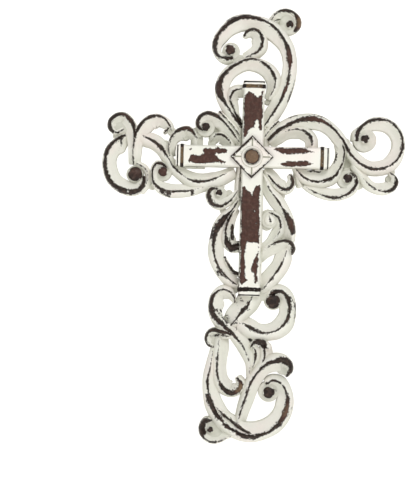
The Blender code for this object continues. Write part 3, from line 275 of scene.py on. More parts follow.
        (-8, -128, 2, 1.5, 0.8), (-13, -125.3, 4, 2, 1.4), (-19, -123.6, 6, 2.5, 2.6),
        (-25, -122.8, 6, 1.2, 2.8), (-28.3, -125.2, 6, 0.8, 2.7), (-29.3, -129.5, 5.5, 0.8, 2),
        (-27.3, -133.6, 3, 0.8, 1.8), (-23, -135.2, 1.5, 1, 1.2)]),
    "tailInnerHook": (1, (8.5, 11.0, 9.0), [
        (-20, -127.5, 7, 3, -1), (-20, -136, 7.6, 5, 0.4), (-20.6, -143.5, 7, 5, 1.2),
        (-20.6, -151, 6.8, 4.5, 1.2), (-18.9, -159, 7, 4.8, 1.6), (-15.3, -164.4, 7.6, 4.4, 3),
        (-10, -167, 8.5, 3.4, 3.2), (-5.3, -165, 6.5, 3.4, 3.2), (-3.4, -160.7, 4, 4, 3),
        (-5.8, -156.8, 2, 3.5, 1.2)]),
    "bottomLoop": (1, (8.5, 12.5, 9.5), [
        (-23.6, -136, 3, 2, -1), (-25.3, -148.5, 3.5, 3.6, 1), (-27, -158, 6, 3.6, 1.4),
        (-26, -167.5, 7, 4.3, 1.5), (-22.8, -177, 7.8, 5.6, 3), (-17.7, -186, 8.5, 5, 3),
        (-11, -192, 9, 5.1, 2.5), (-3, -196.3, 9.3, 4.7, 3.4), (6, -197.2, 9.5, 4.6, 2.4),
        (14.5, -194.7, 9, 4.7, 2.1), (22, -189.5, 8.3, 5.4, 3), (27.3, -181.8, 7.6, 5.5, 3.2),
        (29.7, -173.5, 7.8, 4.8, 2.8), (28.6, -165.3, 6, 4.6, 1.1), (24.5, -159.3, 4, 5, 1.2),
        (19, -157.5, 3, 4, 1.7), (14.6, -159.7, 1.5, 3.5, 1.8)]),
    "bottomInner": (1, (9.0, 11.0, 9.5), [
        (-21.3, -176.5, 1, 1, 0.5), (-15.5, -182.3, 2, 2, 1.1), (-10.3, -186, 4, 2, 1.6),
        (-5, -190.3, 4, 2, 2.4), (1.5, -194.2, 3, 1.5, 2), (7, -196, 2, 1, 1.5)]),
    "bottomSlant": (-1, (9.5, 12.0, 8.5), [
        (-4.8, -188, 5.5, 2.5, -0.5), (-3, -179.5, 6.3, 3, 1), (-0.2, -170.5, 6.8, 3.6, 1.4),
        (2.7, -161.5, 7, 4, 1.6), (6.7, -153.8, 7, 4, 1.6), (12.2, -147.5, 7, 4.5, 2),
        (19.5, -143.4, 8.5, 5, 2.6), (26, -142.3, 9.3, 3.4, 3.4), (30.7, -145.3, 7.3, 2.3, 3.4),
        (31.7, -150, 6, 1.8, 3), (28.8, -154.3, 3.5, 1.5, 1.4)]),
    "budLeft": (1, (9.5, 10.0, 8.5), [
        (3.8, -133.3, 2, 2, 0.6), (6.7, -138, 4, 2.5, 1.4), (6.3, -143, 4, 3, 0.9),
        (4, -150, 2.5, 3, -0.6)]),
    "budRight": (1, (9.5, 10.0, 8.5), [
        (12, -133, 5.5, 3, 0.7), (12.9, -138.5, 6, 3.5, 1), (12, -144, 6, 3.5, 0.6),
        (9, -150, 3, 3, -1)]),
    "budTop": (-1, (9.5, 11.5, 9.5), [
        (2.8, -134.3, 1.5, 1.5, 0.6), (5.3, -130.9, 3, 1.8, 2.4), (9, -129.9, 3.5, 2, 3.2),
        (12.8, -131.7, 3, 2.6, 2.4), (15.3, -135, 2.5, 3.2, -0.5)]),
    "bottomCurl": (1, (9.0, 11.5, 8.5), [
        (-23.8, -187, 1.5, 2.5, 1.4), (-27.8, -187, 3, 2, 3.6), (-30.5, -190.7, 4.5, 1.8, 4.4),
        (-30.7, -195.3, 5, 1.7, 3.4), (-28, -199.5, 5, 1.7, 1.6), (-23, -201.9, 5.5, 1.6, 1.3),
        (-17.5, -201.2, 5.5, 1.6, 1.1), (-12, -198.3, 4, 1.4, 0.3), (-7, -197.6, 3.5, 1.5, -0.5)]),
}

# Round grounds inside the curls: x, z, radius, depth of the face.
grounds = [
    (-93.5, 19.5, 6.0, 6.8), (-62.5, -12.0, 6.3, 7.2), (-33.0, 20.3, 6.5, 7.2), (-24.5, 18.6, 2.6, 5.2),
    (-16.5, 75.0, 6.3, 7.2), (24.3, 95.0, 7.2, 7.4), (17.8, 94.5, 4.0, 5.6), (80.0, 14.3, 8.3, 7.2),
    (68.3, -2.0, 4.5, 5.2), (67.7, -13.8, 6.6, 7.2), (14.0, -43.7, 6.3, 8.6), (-22.5, -27.0, 6.0, 7.2),
    (18.0, -101.3, 6.4, 7.2), (-23.0, -129.0, 5.5, 6.8), (16.4, -165.6, 7.4, 7.3),
    (-22.2, -193.4, 7.5, 6.9), (-77.8, 19.5, 3.2, 6.0), (-96.6, 12.6, 2.2, 6.5), (-82.3, -14.0, 6.2, 6.5),
    (-57.2, 17.3, 3.1, 6.5), (-61.0, 8.3, 2.5, 6.2), (-47.0, 13.4, 2.6, 6.5), (-40.3, 18.4, 2.0, 6.5),
    (-37.8, 14.7, 2.0, 6.2), (-70.1, -22.4, 2.4, 6.0), (67.0, 13.0, 2.4, 6.5), (98.7, -12.9, 3.0, 4.8),
    (99.8, -7.6, 2.3, 7.0), (77.3, -18.3, 2.3, 6.5), (67.8, -7.8, 2.8, 6.0), (-15.2, -25.8, 2.6, 6.2),
    (-20.3, -21.0, 1.8, 6.2), (-19.3, -38.0, 2.3, 6.0), (22.3, -26.6, 2.4, 6.0), (12.5, -40.5, 4.1, 7.0),
    (12.3, -47.5, 4.0, 7.0), (10.5, -97.0, 4.5, 7.0), (4.0, -129.5, 2.5, 5.0), (26.0, -148.5, 5.0, 6.5),
    (-10.5, 68.3, 4.6, 6.5), (10.3, 39.8, 2.0, 5.0), (24.0, -56.0, 2.0, 6.0), (-9.4, -94.6, 2.3, 6.0),
    (-28.3, 9.6, 2.9, 6.2),
]

# Domed eyes of the curls: x, z, radius, depth of the top, how far the bare wood reaches from the middle.
eyes = [
    (-82.0, -14.0, 5.2, 11.5, 5.4), (-62.5, -11.8, 3.4, 10.5, 3.9), (-33.0, 20.8, 3.1, 10.5, 3.0),
    (-17.2, 75.8, 3.9, 11.0, 3.7), (24.7, 94.8, 2.8, 10.5, 2.9), (80.0, 15.2, 3.1, 10.5, 3.0),
    (68.3, -13.0, 3.3, 10.5, 3.3), (14.0, -43.9, 4.0, 10.4, -1.0), (-22.4, -25.6, 2.5, 10.5, 2.4),
    (17.8, -101.6, 5.2, 11.5, 5.3), (16.5, -166.0, 4.2, 11.0, 4.3), (-24.3, -193.4, 2.2, 10.0, 2.2),
]

# the plain cross under the scrolls, drawn mm; heights and depths are real mm
plainCross = {
    "upright": {"middle": 0.5, "width": 15.0, "from": -98.2, "to": 53.9, "top": 14.5, "lean": 0.0,
                "ends": ("dark", "tan"), "grooves": (4.8, 4.2), "lines": (0.9, 1.0)},
    "arm": {"middle": 0.2, "width": 14.9, "from": -53.7, "to": 54.8, "top": 14.4, "lean": 0.004,
            "ends": ("tan", "tan"), "grooves": (4.5, 5.3), "lines": (1.4, 1.3)},
    "chamfer": 1.4,
    "edgeRound": 0.35,
    "acrossCells": 20,
    "alongStep": 0.75,
    "grooveWidth": 2.2, "grooveDepth": 1.5, "lineWidth": 0.8, "lineDepth": 0.8,
    "collarWidth": 5.0, "collarSwell": 0.9,     # the end swells a little round its groove
    "rubbedWider": 1.3, "darkEnds": 1.6,        # bare wood past a groove's width; dirt at its two ends
    "endStep": 0.25, "endRound": 0.5,           # the end faces are eased over this length, by this much
}

diamond = {
    "reach": 15.4, "rim": 1.3, "sink": 1.0, "depth": 16.8, "studDepth": 19.5,
    "studRadius": 5.2, "ringRadius": 7.6, "rayHalf": 0.55, "rayDepth": 0.7,
    "edgeBare": 1.1, "upperLeftBare": 1.7,
}

# Where the paint is rubbed through on the bars, drawn mm, each outline taken round once.
barePatches = [
    [(-6.4, 12.5), (-4, 15.5), (-3, 18), (-2, 19.5), (0.5, 20.2), (1.3, 22), (1.8, 24.8), (3, 26),
     (4, 24.8), (4.4, 21), (5.2, 18.5), (6.2, 18.5), (6.5, 21), (6.5, 46.5), (6, 46.3), (5, 43.5),
     (4, 42.5), (2.5, 42.3), (1, 43.5), (0, 44.8), (-1, 45.2), (-3, 46), (-4.5, 44.3), (-6, 43.5),
     (-6.4, 43)],
    [(-6.4, -21), (-4.5, -21), (-2.5, -23.5), (0, -24.8), (1, -27), (1.5, -24), (3, -21.5), (5, -19.8),
     (6.4, -19.5), (6.4, -60.8), (4.5, -60.5), (2, -60.2), (0, -60.5), (-2, -60), (-2.5, -63),
     (-3.2, -72), (-2.8, -80), (-2.5, -84.5), (-1, -87.3), (-2.5, -88), (-4.5, -90), (-6, -89),
     (-6.4, -85)],
    [(6.3, -66), (4, -70), (2.7, -74), (1.8, -79.5), (3, -82), (3.6, -85), (4, -88.7), (6.6, -88.7),
     (5.8, -82), (5.8, -77), (6.2, -72)],
    [(-35, 3.5), (-33, 5.5), (-28, 5), (-24, 6.3), (-22, 5), (-18.5, 5.5), (-17.5, 4), (-18, 2.5),
     (-24.5, 1.5), (-25.5, 1), (-23.5, -1), (-20.5, -3.7), (-18.5, -4), (-19, -5.3), (-22.5, -4.2),
     (-28, -5), (-34, -5.5), (-43, -5.2), (-45.3, -3.5), (-43, 0), (-36, 0.5), (-34, 1.5)],
    [(15.5, 5.5), (17, 7), (30, 6.8), (40, 8), (38.5, 6.5), (43.5, 4.5), (36, 3), (25, 2.5), (21, 3),
     (17, 4.8)],
    [(18.3, -4.8), (27, -2.5), (38, -2), (43.5, -4), (38, -5.5), (24, -6)],
]

# Small bare spots, left-over flakes of paint and one painted shadow, drawn mm:
# x, z, half length, half width, turn in degrees, 1 for bare or -1 for paint.
spots = [
    (-43.3, 4, 0.8, 0.7, 0, 1), (6.3, -63.5, 0.6, 0.5, 0, 1), (2.8, -38, 0.6, 0.5, 0, -1),
    (4, -46.8, 0.5, 0.4, 0, -1), (-87, -26.5, 0.9, 0.7, 0, -1), (-92.8, 8, 2.4, 0.5, 80, 1),
    (-94.5, 8.5, 1.6, 0.4, 75, 1), (14.2, -44.2, 2.3, 0.8, 100, 1), (-3, -193.6, 1.2, 0.5, 150, -1),
    (1.5, -195.5, 1, 0.5, 160, -1), (7, -195.6, 1, 0.5, 0, -1), (-13, -191.8, 1.7, 0.35, 142, -1),
    (-7.5, -194.8, 1.5, 0.3, 155, -1), (-17, -187.3, 1.6, 0.3, 132, -1), (16, -192.5, 1.2, 0.3, 28, -1),
    (-27, -171, 1.3, 0.3, 95, -1), (-22.5, -81.5, 1.6, 0.6, 130, 1), (-21, -84, 1.2, 0.7, 0, 1),
    (59.5, 5.5, 1, 0.9, 0, 1), (59.6, 2, 4, 0.7, 85, 1), (2.3, -129, 1.4, 1, 140, 1),
    (28.5, 29.3, 2.4, 0.5, 20, 1), (49, 30, 3.5, 0.4, 165, 1), (-5, -100.5, 3.5, 0.35, 130, 1),
    # 46.2, -8.7 below is a painted shadow under the right end of the arm, laid on as bare wood
    (46.2, -8.7, 4.2, 0.6, 175, 1), (-7.4, -62, 30, 0.35, 90, 1),
]

# Strokes of bare wood away from the ridges, one of them partly painted shade: half width, then the places
# each runs through, drawn mm.
strokes = [
    (0.7, [(-64, -26.3), (-57.5, -29.2)]), (0.9, [(-57.8, -27), (-57.3, -29.3)]),
    # the stroke down x -12.3 darkens the hollow of the lower left hook: bare wood and painted shade
    # together
    (1.1, [(-41.5, -24.8), (-41.3, -27.2)]), (1.2, [(-12.3, -48.5), (-12.3, -58)]),
    (1.6, [(-15.5, -60), (-12.3, -63.5), (-8.5, -62.5)]), (1.1, [(-12.4, -64), (-12.5, -66.5)]),
    (0.35, [(24.5, 40), (27, 47), (29, 56)]),
    (0.4, [(31, -97.5), (33.8, -105), (33.8, -111), (31.5, -118)]),
    (0.3, [(5, -199.8), (28, -188.5), (33, -176)]), (0.3, [(-28.2, -168), (-26.5, -178)]),
    (0.4, [(26, 28.6), (31, 30.2)]), (0.4, [(45, 30.5), (53, 28.3)]),
    (0.4, [(-20, 96.5), (-12, 99.8), (-2, 100.3)]), (0.4, [(-0.3, -137.5), (2.3, -146)]),
    (0.4, [(-25.5, -127.5), (-20, -125.8), (-13, -127)]),
    (1.7, [(-29, -188.5), (-30, -192), (-28.5, -196)]), (0.5, [(-22.5, -108.5), (-14, -118)]),
    (0.4, [(-20, -108), (-12.5, -115.5)]), (0.35, [(-17.5, -108.5), (-12.5, -113.3)]),
    (0.9, [(-23.8, -47), (-26.3, -52), (-27.4, -58)]), (0.9, [(29.5, -43.5), (31, -48), (31.6, -52.5)]),
    (1.0, [(6, -131), (10, -132.5), (13.5, -134)]), (1.3, [(18, -144.5), (25, -143.5), (31, -147)]),
    (0.7, [(18, -163.5), (21.8, -164.5)]), (1.15, [(-6.3, -93.3), (7.3, -93.3)]),
]

# Creases where dirt and old wax gathered, with painted shade in them, drawn mm: x, z, reach, amount from 0
# to 1.
stainsAndShade = [
    (-24.6, 18.8, 3.2, 0.9), (68.2, -2.5, 5, 0.9), (18.5, 96, 3, 0.8), (-29, 12.5, 3, 0.4),
    (80.5, -14, 3, 0.5), (-74, -16, 4, 0.3), (12, -92, 5, 0.35), (-10, -122, 4, 0.35), (3, -150, 6, 0.4),
    (-20, -126, 4, 0.35),
]

backFinish = (4.0, 0.1, 0.3)        # the flat back: painted all over, a little grimy

# Places where the bare wood is redder than elsewhere, drawn mm: x, z, reach, warmth from 0 to 1.
warmPlaces = [
    (-88, 27, 7, 0.35), (-46, 18.5, 6, 0.45), (24.5, 70, 10, 0.6), (22, 49, 6, 0.6), (46, 27, 11, 0.6),
    (32, 96, 7, 0.8), (-5, -163, 6, 0.85), (28, -178, 10, 0.7), (-81, -12, 6, 0.3), (30, -46, 8, 0.45),
    (-24, 48, 8, 0.25), (-17, 76, 5, 0.25), (-62.5, -12, 5, 0.5),
]


def smoothRidge(knots, fine=24):
    # an even curve through the knots; widths are carried along with the places
    rows = np.array(knots, float)
    rows = np.vstack([2 * rows[0] - rows[1], rows, 2 * rows[-1] - rows[-2]])
    gaps = np.sqrt(np.hypot(*np.diff(rows[:, :2], axis=0).T))
    times = np.concatenate([[0.0], np.cumsum(gaps)])
    out = []
    for i in range(1, len(rows) - 2):
        p0, p1, p2, p3 = rows[i - 1:i + 3]
        t0, t1, t2, t3 = times[i - 1:i + 3]
        t = np.linspace(t1, t2, fine, endpoint=False)[:, None]
        a1 = p0 + (p1 - p0) * (t - t0) / (t1 - t0)
        a2 = p1 + (p2 - p1) * (t - t1) / (t2 - t1)
        a3 = p2 + (p3 - p2) * (t - t2) / (t3 - t2)
        b1 = a1 + (a2 - a1) * (t - t0) / (t2 - t0)
        b2 = a2 + (a3 - a2) * (t - t1) / (t3 - t1)
        out.append(b1 + (b2 - b1) * (t - t1) / (t2 - t1))
    out.append(rows[-2][None])
    return np.vstack(out)


def softened(values, times):
    for _ in range(times):
        values[1:-1] = (values[:-2] + values[1:-1] + values[2:]) / 3
    return values


def ridgeSections(side, heights, knots):
    # places, inward directions, widths and heights of the sections along one scroll
    path = smoothRidge(knots)
    steps = np.hypot(*np.diff(path[:, :2], axis=0).T)
    reach = np.concatenate([[0.0], np.cumsum(steps)])
    way = np.unwrap(np.arctan2(np.gradient(path[:, 1]), np.gradient(path[:, 0])))
    bend = softened(np.gradient(way, reach), 6)
    tightness = np.maximum(np.abs(bend), 1e-4)
    room = carving["bendShare"] / tightness
    inner = bend * side > 0
    hollow = softened(np.where(inner, np.minimum(path[:, 2], room), path[:, 2]), 8)
    flank = softened(np.where(inner, path[:, 3], np.minimum(path[:, 3], room)), 8)
    spacing = np.clip(carving["bendStep"] / tightness, carving["shortStep"], carving["longStep"])
    count = np.concatenate([[0.0], np.cumsum(steps / ((spacing[1:] + spacing[:-1]) / 2))])
    marks = np.interp(np.linspace(0, count[-1], max(4, int(math.ceil(count[-1])) + 1)), count, reach)
    start, middle, end = heights
    fade = carving["fade"] * reach[-1]
    first = np.minimum(1, marks / fade)
    last = np.minimum(1, (reach[-1] - marks) / fade)
    height = middle - (middle - start) * (1 - first) ** 2 - (middle - end) * (1 - last) ** 2

    def read(values):
        return np.interp(marks, reach, values)
    angle = read(way)
    inward = np.stack([-np.sin(angle), np.cos(angle)], axis=1) * side
    place = np.stack([read(path[:, 0]), read(path[:, 1])], axis=1)
    return place, inward, read(hollow), read(flank), height, read(path[:, 4])


def roundedEnds(place, inward, hollow, flank, height, bare):
    # two short closing sections at each end, so that a tip is blunt and not sawn off
    def cap(i, j, share, out):
        step = place[i] - place[j]
        step = step / max(np.hypot(*step), 1e-6)
        size = min(hollow[i], flank[i]) * out
        tip = place[i] + step * size
        return tip, inward[i], hollow[i] * share, flank[i] * share, height[i] - size * 0.5, bare[i]
    before = [cap(0, 1, 0.45, 0.42), cap(0, 1, 0.8, 0.28)]
    after = [cap(-1, -2, 0.8, 0.28), cap(-1, -2, 0.45, 0.42)]
    columns = []
    for k, column in enumerate((place, inward, hollow, flank, height, bare)):
        head = np.array([row[k] for row in before])
        tail = np.array([row[k] for row in after])
        columns.append(np.concatenate([head, column, tail]))
    return columns


def scrollSection(hollow, flank, ridge):
    # across one scroll: distance inwards from the ridge and height above the back, outer foot to inner foot
    c = carving
    fall = np.minimum(c["coveDrop"], c["coveSlope"] * hollow + c["coveStart"])
    step = np.minimum(c["flankStep"] + c["flankSlope"] * flank, c["flankShare"] * ridge)
    outer = np.minimum(c["outerRound"], 0.4 * flank)
    crest = np.minimum(c["crestRound"], 0.3 * flank)
    lip = np.minimum(c["innerRound"], 0.28 * hollow)
    flat = 0 * hollow

    def onFlank(a):
        return ridge - step * (a / flank) + 0.12 * flank * np.sin(math.pi * a / flank)

    def onCove(u):
        return ridge - fall * (1 - (1 - u) ** c["coveBend"])
    rows = [
        (-flank, flat),
        (-flank, ridge - step - 1.3 * outer),
        (-flank + 0.3 * outer, ridge - step - 0.35 * outer),
        (-flank + outer, onFlank(flank - outer)),
        (-0.5 * flank, onFlank(0.5 * flank)),
        (-crest, onFlank(crest) - 0.02),
        (0 * flank, ridge - 0.12),
        (0.06 * hollow + 0.1, onCove(0.06) - 0.05),
    ]
    for u in (0.15, 0.28, 0.42, 0.58, 0.74):
        rows.append((u * hollow, onCove(u)))
    rows += [
        (hollow - lip, onCove(0.88) + 0.08 * lip),
        (hollow - 0.25 * lip, ridge - fall - 0.3 * lip),
        (hollow, ridge - fall - 1.3 * lip),
        (hollow, flat),
    ]
    across = np.stack([row[0] for row in rows], axis=1)
    height = np.stack([row[1] for row in rows], axis=1)
    return across, height


def nearness(x, z, px, pz, reach):
    # 1 at a place, falling to 0 at its reach
    return np.clip(1 - np.hypot(x - px, z - pz) / reach, 0, 1)


def warmth(x, z):
    warm = np.full_like(x, 0.08)
    for px, pz, reach, amount in warmPlaces:
        warm = np.maximum(warm, amount * np.minimum(1, 1.8 * nearness(x, z, px, pz, reach)))
    return warm


def fromSegment(x, z, start, end):
    # distance to the straight run between two places
    ex, ez = end[0] - start[0], end[1] - start[1]
    t = np.clip(((x - start[0]) * ex + (z - start[1]) * ez) / (ex * ex + ez * ez), 0, 1)
    return np.hypot(x - start[0] - t * ex, z - start[1] - t * ez)


def signedDistance(x, z, outline):
    # distance to a closed outline, negative inside it
    nearest = np.full_like(x, 1e9)
    inside = np.zeros(x.shape, bool)
    for (ax, az), (bx, bz) in zip(outline, outline[1:] + outline[:1]):
        nearest = np.minimum(nearest, fromSegment(x, z, (ax, az), (bx, bz)))
        crosses = (az > z) != (bz > z)
        with np.errstate(divide="ignore", invalid="ignore"):
            left = x < ax + (z - az) * (bx - ax) / (bz - az)
        inside ^= crosses & left
    return np.where(inside, -nearest, nearest)


def tubeFaces(rows, columns):
    # triangles round a tube of points, one ring a row, with its first and last ring filled
    index = np.arange(rows * columns).reshape(rows, columns)
    ahead = np.roll(index, -1, axis=1)
    a, b, c, d = index[:-1], ahead[:-1], ahead[1:], index[1:]
    faces = [np.stack([a, b, c], -1).reshape(-1, 3), np.stack([a, c, d], -1).reshape(-1, 3)]
    for ring in (index[0], index[-1][::-1]):
        faces.append([(ring[0], ring[i], ring[i + 1]) for i in range(1, columns - 1)])
    return np.concatenate(faces)


def valuesOf(items, name, width, kind=float):
    # one row of values for each of a mesh's points, corners or faces
    values = np.zeros(len(items) * width, kind)
    items.foreach_get(name, values)
    return values.reshape(-1, width)


shells = bpy.data.collections.new("shells")
bpy.context.scene.collection.children.link(shells)


def addShell(name, x, height, z, finishAndShade):
    # a closed tube of points: x and z in drawn mm, height above the back in real mm
    # finish is the distance to bare wood, warmth, and grime with painted shade at each point
    place = np.stack([x * drawn, -height * mm, z * drawn], axis=-1).reshape(-1, 3)
    data = bpy.data.meshes.new(name)
    data.from_pydata(place.tolist(), [], tubeFaces(*x.shape).tolist())
    shape = bmesh.new()
    shape.from_mesh(data)
    bmesh.ops.recalc_face_normals(shape, faces=shape.faces[:])
    shape.to_mesh(data)
    shape.free()
    corners = valuesOf(data.loops, "vertex_index", 1, int)[:, 0]
    layer = data.attributes.new("finishAndShade", "FLOAT_VECTOR", "CORNER")
    values = np.stack(finishAndShade, axis=-1).reshape(-1, 3)[corners]
    layer.data.foreach_set("vector", values.astype(np.float32).ravel())
    shells.objects.link(bpy.data.objects.new(name, data))


def buildScroll(name, side, heights, knots):
    place, inward, hollow, flank, ridge, bare = roundedEnds(*ridgeSections(side, heights, knots))
    c = carving
    hollow = np.maximum(hollow, c["leastWidth"])
    flank = np.maximum(flank, c["leastWidth"])
    across, height = scrollSection(hollow, flank, ridge)
    x = place[:, :1] + inward[:, :1] * across
    z = place[:, 1:] + inward[:, 1:] * across
    fallen = ridge[:, None] - height
    bareAt = np.maximum(np.abs(across), 0.6 * fallen) - bare[:, None] / 2 - c["bareExtra"]
    # grime and painted shade: the paint darkens with the fall from the ridge, on the flanks, in the hollows
    # and most at the foot
    deep = np.clip(fallen / c["grimeAndShadeFall"], 0, 1)
    foot = np.clip(c["footGrimeAndShade"] * (deep - c["footFrom"]) / (1 - c["footFrom"]), 0, 1)
    grimeAndShade = np.where(across < 0, c["flankGrimeAndShade"] * deep ** 0.7, c["coveGrimeAndShade"] * deep) + foot
    addShell(name, x, height, z, (bareAt, warmth(x, z), grimeAndShade))


def buildTurned(name, x, z, profile, steps, finishAt):
    # a round form standing on the back; the profile lists radius and height, foot to top
    angle = np.arange(steps) * 2 * math.pi / steps
    radius = np.array([p[0] for p in profile])[:, None]
    height = np.array([p[1] for p in profile])[:, None] + 0 * angle
    px = x + radius * np.cos(angle)
    pz = z + radius * np.sin(angle)
    addShell(name, px, height, pz, finishAt(px, pz, radius + 0 * angle, height))


def barStations(bar):
    # where the sections of a bar lie along it, close together at its ends and grooves
    c = plainCross
    along = [np.arange(bar["from"], bar["to"], c["alongStep"])]
    along.append([bar["from"], bar["from"] + c["endStep"], bar["to"] - c["endStep"], bar["to"]])
    for insets, width in ((bar["grooves"], c["grooveWidth"]), (bar["lines"], c["lineWidth"])):
        for middle in (bar["from"] + insets[0], bar["to"] - insets[1]):
            along.append([middle + edge * width for edge in (-0.5, -0.3, 0.3, 0.5)])
    return np.unique(np.round(np.concatenate(along), 3))


def insetOf(bar, kind, along):
    # what is set for the nearer end of the bar
    return np.where(along < (bar["from"] + bar["to"]) / 2, bar[kind][0], bar[kind][1])


def endDistance(bar, along):
    return np.minimum(along - bar["from"], bar["to"] - along)


def inGroove(bar, kind, width, along):
    # 1 on the floor of the groove near each end, falling to 0 at its edges
    away = np.abs(endDistance(bar, along) - insetOf(bar, kind, along))
    return np.clip((0.5 * width - away) / (0.2 * width), 0, 1)


def barSections(bar, along):
    # places across the bar and heights above the back, from foot over the top to foot
    c = plainCross
    fromEnd = endDistance(bar, along)
    groove = inGroove(bar, "grooves", c["grooveWidth"], along) * c["grooveDepth"]
    line = inGroove(bar, "lines", c["lineWidth"], along) * c["lineDepth"]
    fromCollar = np.abs(fromEnd - insetOf(bar, "grooves", along))
    collar = np.clip(1 - fromCollar / (c["collarWidth"] / 2), 0, 1) ** 0.5 * c["collarSwell"]
    eased = c["endRound"] * np.clip(1 - fromEnd / c["endStep"], 0, 1)
    half = bar["width"] / 2
    wide = half + collar - eased
    top = bar["top"] - np.maximum(groove, line) - eased
    inner, rounding = half - c["chamfer"], c["edgeRound"]
    across = [-wide, -wide, -wide + 0.25 * rounding, -inner - rounding]
    height = [0 * wide, top - c["chamfer"] - rounding, top - c["chamfer"], top - 0.25 * rounding]
    for share in np.linspace(-1, 1, c["acrossCells"] + 1):
        across.append(share * inner + 0 * wide)
        height.append(top)
    across += [inner + rounding, wide - 0.25 * rounding, wide, wide]
    height += [height[3], height[2], height[1], height[0]]
    across = np.stack(np.broadcast_arrays(*across), axis=1) + bar["middle"]
    return across + bar["lean"] * along[:, None], np.stack(height, axis=1)


def barFinish(bar, along, x, z, across, height):
    c = plainCross
    onTop = height > bar["top"] - c["chamfer"] - 0.5
    bareAt = np.full(x.shape, 4.0)
    for patch in barePatches:
        bareAt = np.minimum(bareAt, np.where(onTop, signedDistance(x, z, patch), 4.0))
    broad = inGroove(bar, "grooves", c["rubbedWider"] * c["grooveWidth"], along)[:, None] * (height > 5)
    narrow = inGroove(bar, "lines", c["rubbedWider"] * c["lineWidth"], along)[:, None] * (height > 5)
    cut = np.maximum(broad, narrow) > 0
    bareAt = np.where(cut, np.minimum(bareAt, -0.7), bareAt)
    tan = insetOf(bar, "ends", along)[:, None] == "tan"
    inside = np.abs(across - bar["middle"]) < bar["width"] / 2 - c["darkEnds"]
    warm = np.where((broad > 0) & tan & inside, 1.0, np.where(cut, 0.05, 0.55))
    # painted shade with some grime: the bar's sides darken towards the back
    grimeAndShade = np.clip((bar["top"] - height) / 8, 0, 1) * 0.9
    return bareAt, warm, grimeAndShade


def buildBar(name, bar, upright):
    along = barStations(bar)
    across, height = barSections(bar, along)
    lengthwise = np.broadcast_to(along[:, None], across.shape)
    x, z = (across, lengthwise) if upright else (lengthwise, across)
    addShell(name, x, height, z, barFinish(bar, along, x, z, across, height))


def buildDiamond():
    d = diamond
    reach, rim = d["reach"], d["rim"]
    face = d["depth"] - d["sink"]
    profile = [
        (reach, 0), (reach, plainCross["upright"]["top"] - 1), (reach - 0.35 * rim, d["depth"] - 0.25),
        (reach - 0.6 * rim, d["depth"]), (reach - 1.3 * rim, d["depth"]),
        (reach - 1.7 * rim, d["depth"] - 0.2), (reach - 2.3 * rim, face)]
    profile += [(r, face) for r in np.linspace(reach - 2.6 * rim, 1, 14)]
    near = np.array([0, 0.02, 0.04, 0.07, 0.11])
    side = np.concatenate([near, np.linspace(0.17, 0.83, 9), 1 - near[:0:-1]])
    corner = np.array([(1, 0), (0, 1), (-1, 0), (0, -1)], float)
    following = np.roll(corner, -1, axis=0)
    around = np.concatenate([a + (b - a) * side[:, None] for a, b in zip(corner, following)])
    radius = np.array([p[0] for p in profile])[:, None]
    px = radius * around[:, 0]
    pz = radius * around[:, 1]
    height = np.array([p[1] for p in profile])[:, None] + 0 * px
    fromAxis = np.minimum(np.abs(px), np.abs(pz))
    onRay = (fromAxis < d["rayHalf"]) & (radius < reach - 2.0 * rim)
    height = height - np.where(onRay, d["rayDepth"] * (1 - (fromAxis / d["rayHalf"]) ** 2), 0)
    fromEdge = (reach - (np.abs(px) + np.abs(pz))) / math.sqrt(2)
    wide = np.where((px < 0) & (pz > 0), d["upperLeftBare"], d["edgeBare"])
    bareAt = fromEdge - wide
    ray = np.clip(1 - fromAxis / d["rayHalf"], 0, 1) * (radius < reach - 2.0 * rim)
    # grime and painted shade in the grooves of the rays and on the sides below the face
    grimeAndShade = np.clip(1.4 * ray, 0, 1) + 0.25 * (height < face - 0.1)
    addShell("diamond", px, height, pz, (bareAt, np.full(px.shape, 0.1), grimeAndShade))


def buildStud():
    # the ring lying on the diamond and the domed stud inside it
    d = diamond
    face = d["depth"] - d["sink"]
    ring, stud = d["ringRadius"], d["studRadius"]
    gap, rise = ring - stud, d["studDepth"] - face
    profile = [
        (ring, 1), (ring, face + 0.1 * rise), (ring - 0.12 * gap, face + 0.26 * rise),
        (ring - 0.35 * gap, face + 0.36 * rise), (ring - 0.6 * gap, face + 0.27 * rise),
        (stud + 0.22 * gap, face + 0.12 * rise), (stud + 0.1 * gap, face + 0.12 * rise),
        (stud, face + 0.3 * rise)]
    for turn in (0.2, 0.4, 0.6, 0.8, 1.0, 1.2, 1.4, 1.5):
        profile.append((stud * math.cos(turn), face + rise * (0.3 + 0.7 * math.sin(turn))))

    def worn(x, z, r, height):
        bareAt = np.where(r < stud + 0.25, r - stud - 0.3, np.where(r > ring - 0.05, 0.35, 0.9))
        warm = np.where(r < stud * 0.86, 0.8, 0.1)
        # grime and painted shade in the creases at the ring's edge and round the foot of the stud
        grimeAndShade = np.clip(1 - np.abs(r - ring) / 0.4, 0, 1) + np.clip(1 - np.abs(r - stud - 0.3) / 0.5, 0, 1)
        return bareAt, warm, grimeAndShade
    buildTurned("stud", 0, 0, profile, carving["studSides"], worn)


def buildGround(i, x, z, radius, depth):
    profile = [(radius, 0), (radius, depth - 0.9), (radius - 0.25, depth - 0.25), (radius - 0.8, depth)]
    profile += [(radius * s, depth - 0.3 * (1 - s)) for s in (0.6, 0.3, 0.05)]

    def painted(px, pz, r, height):
        # painted shade with grime: the recessed grounds are greyed, their low sides most
        return 3 + 0 * r, warmth(px, pz), np.where(height < 4, 0.7, 0.42)
    buildTurned("ground%02d" % i, x, z, profile, carving["groundSides"], painted)


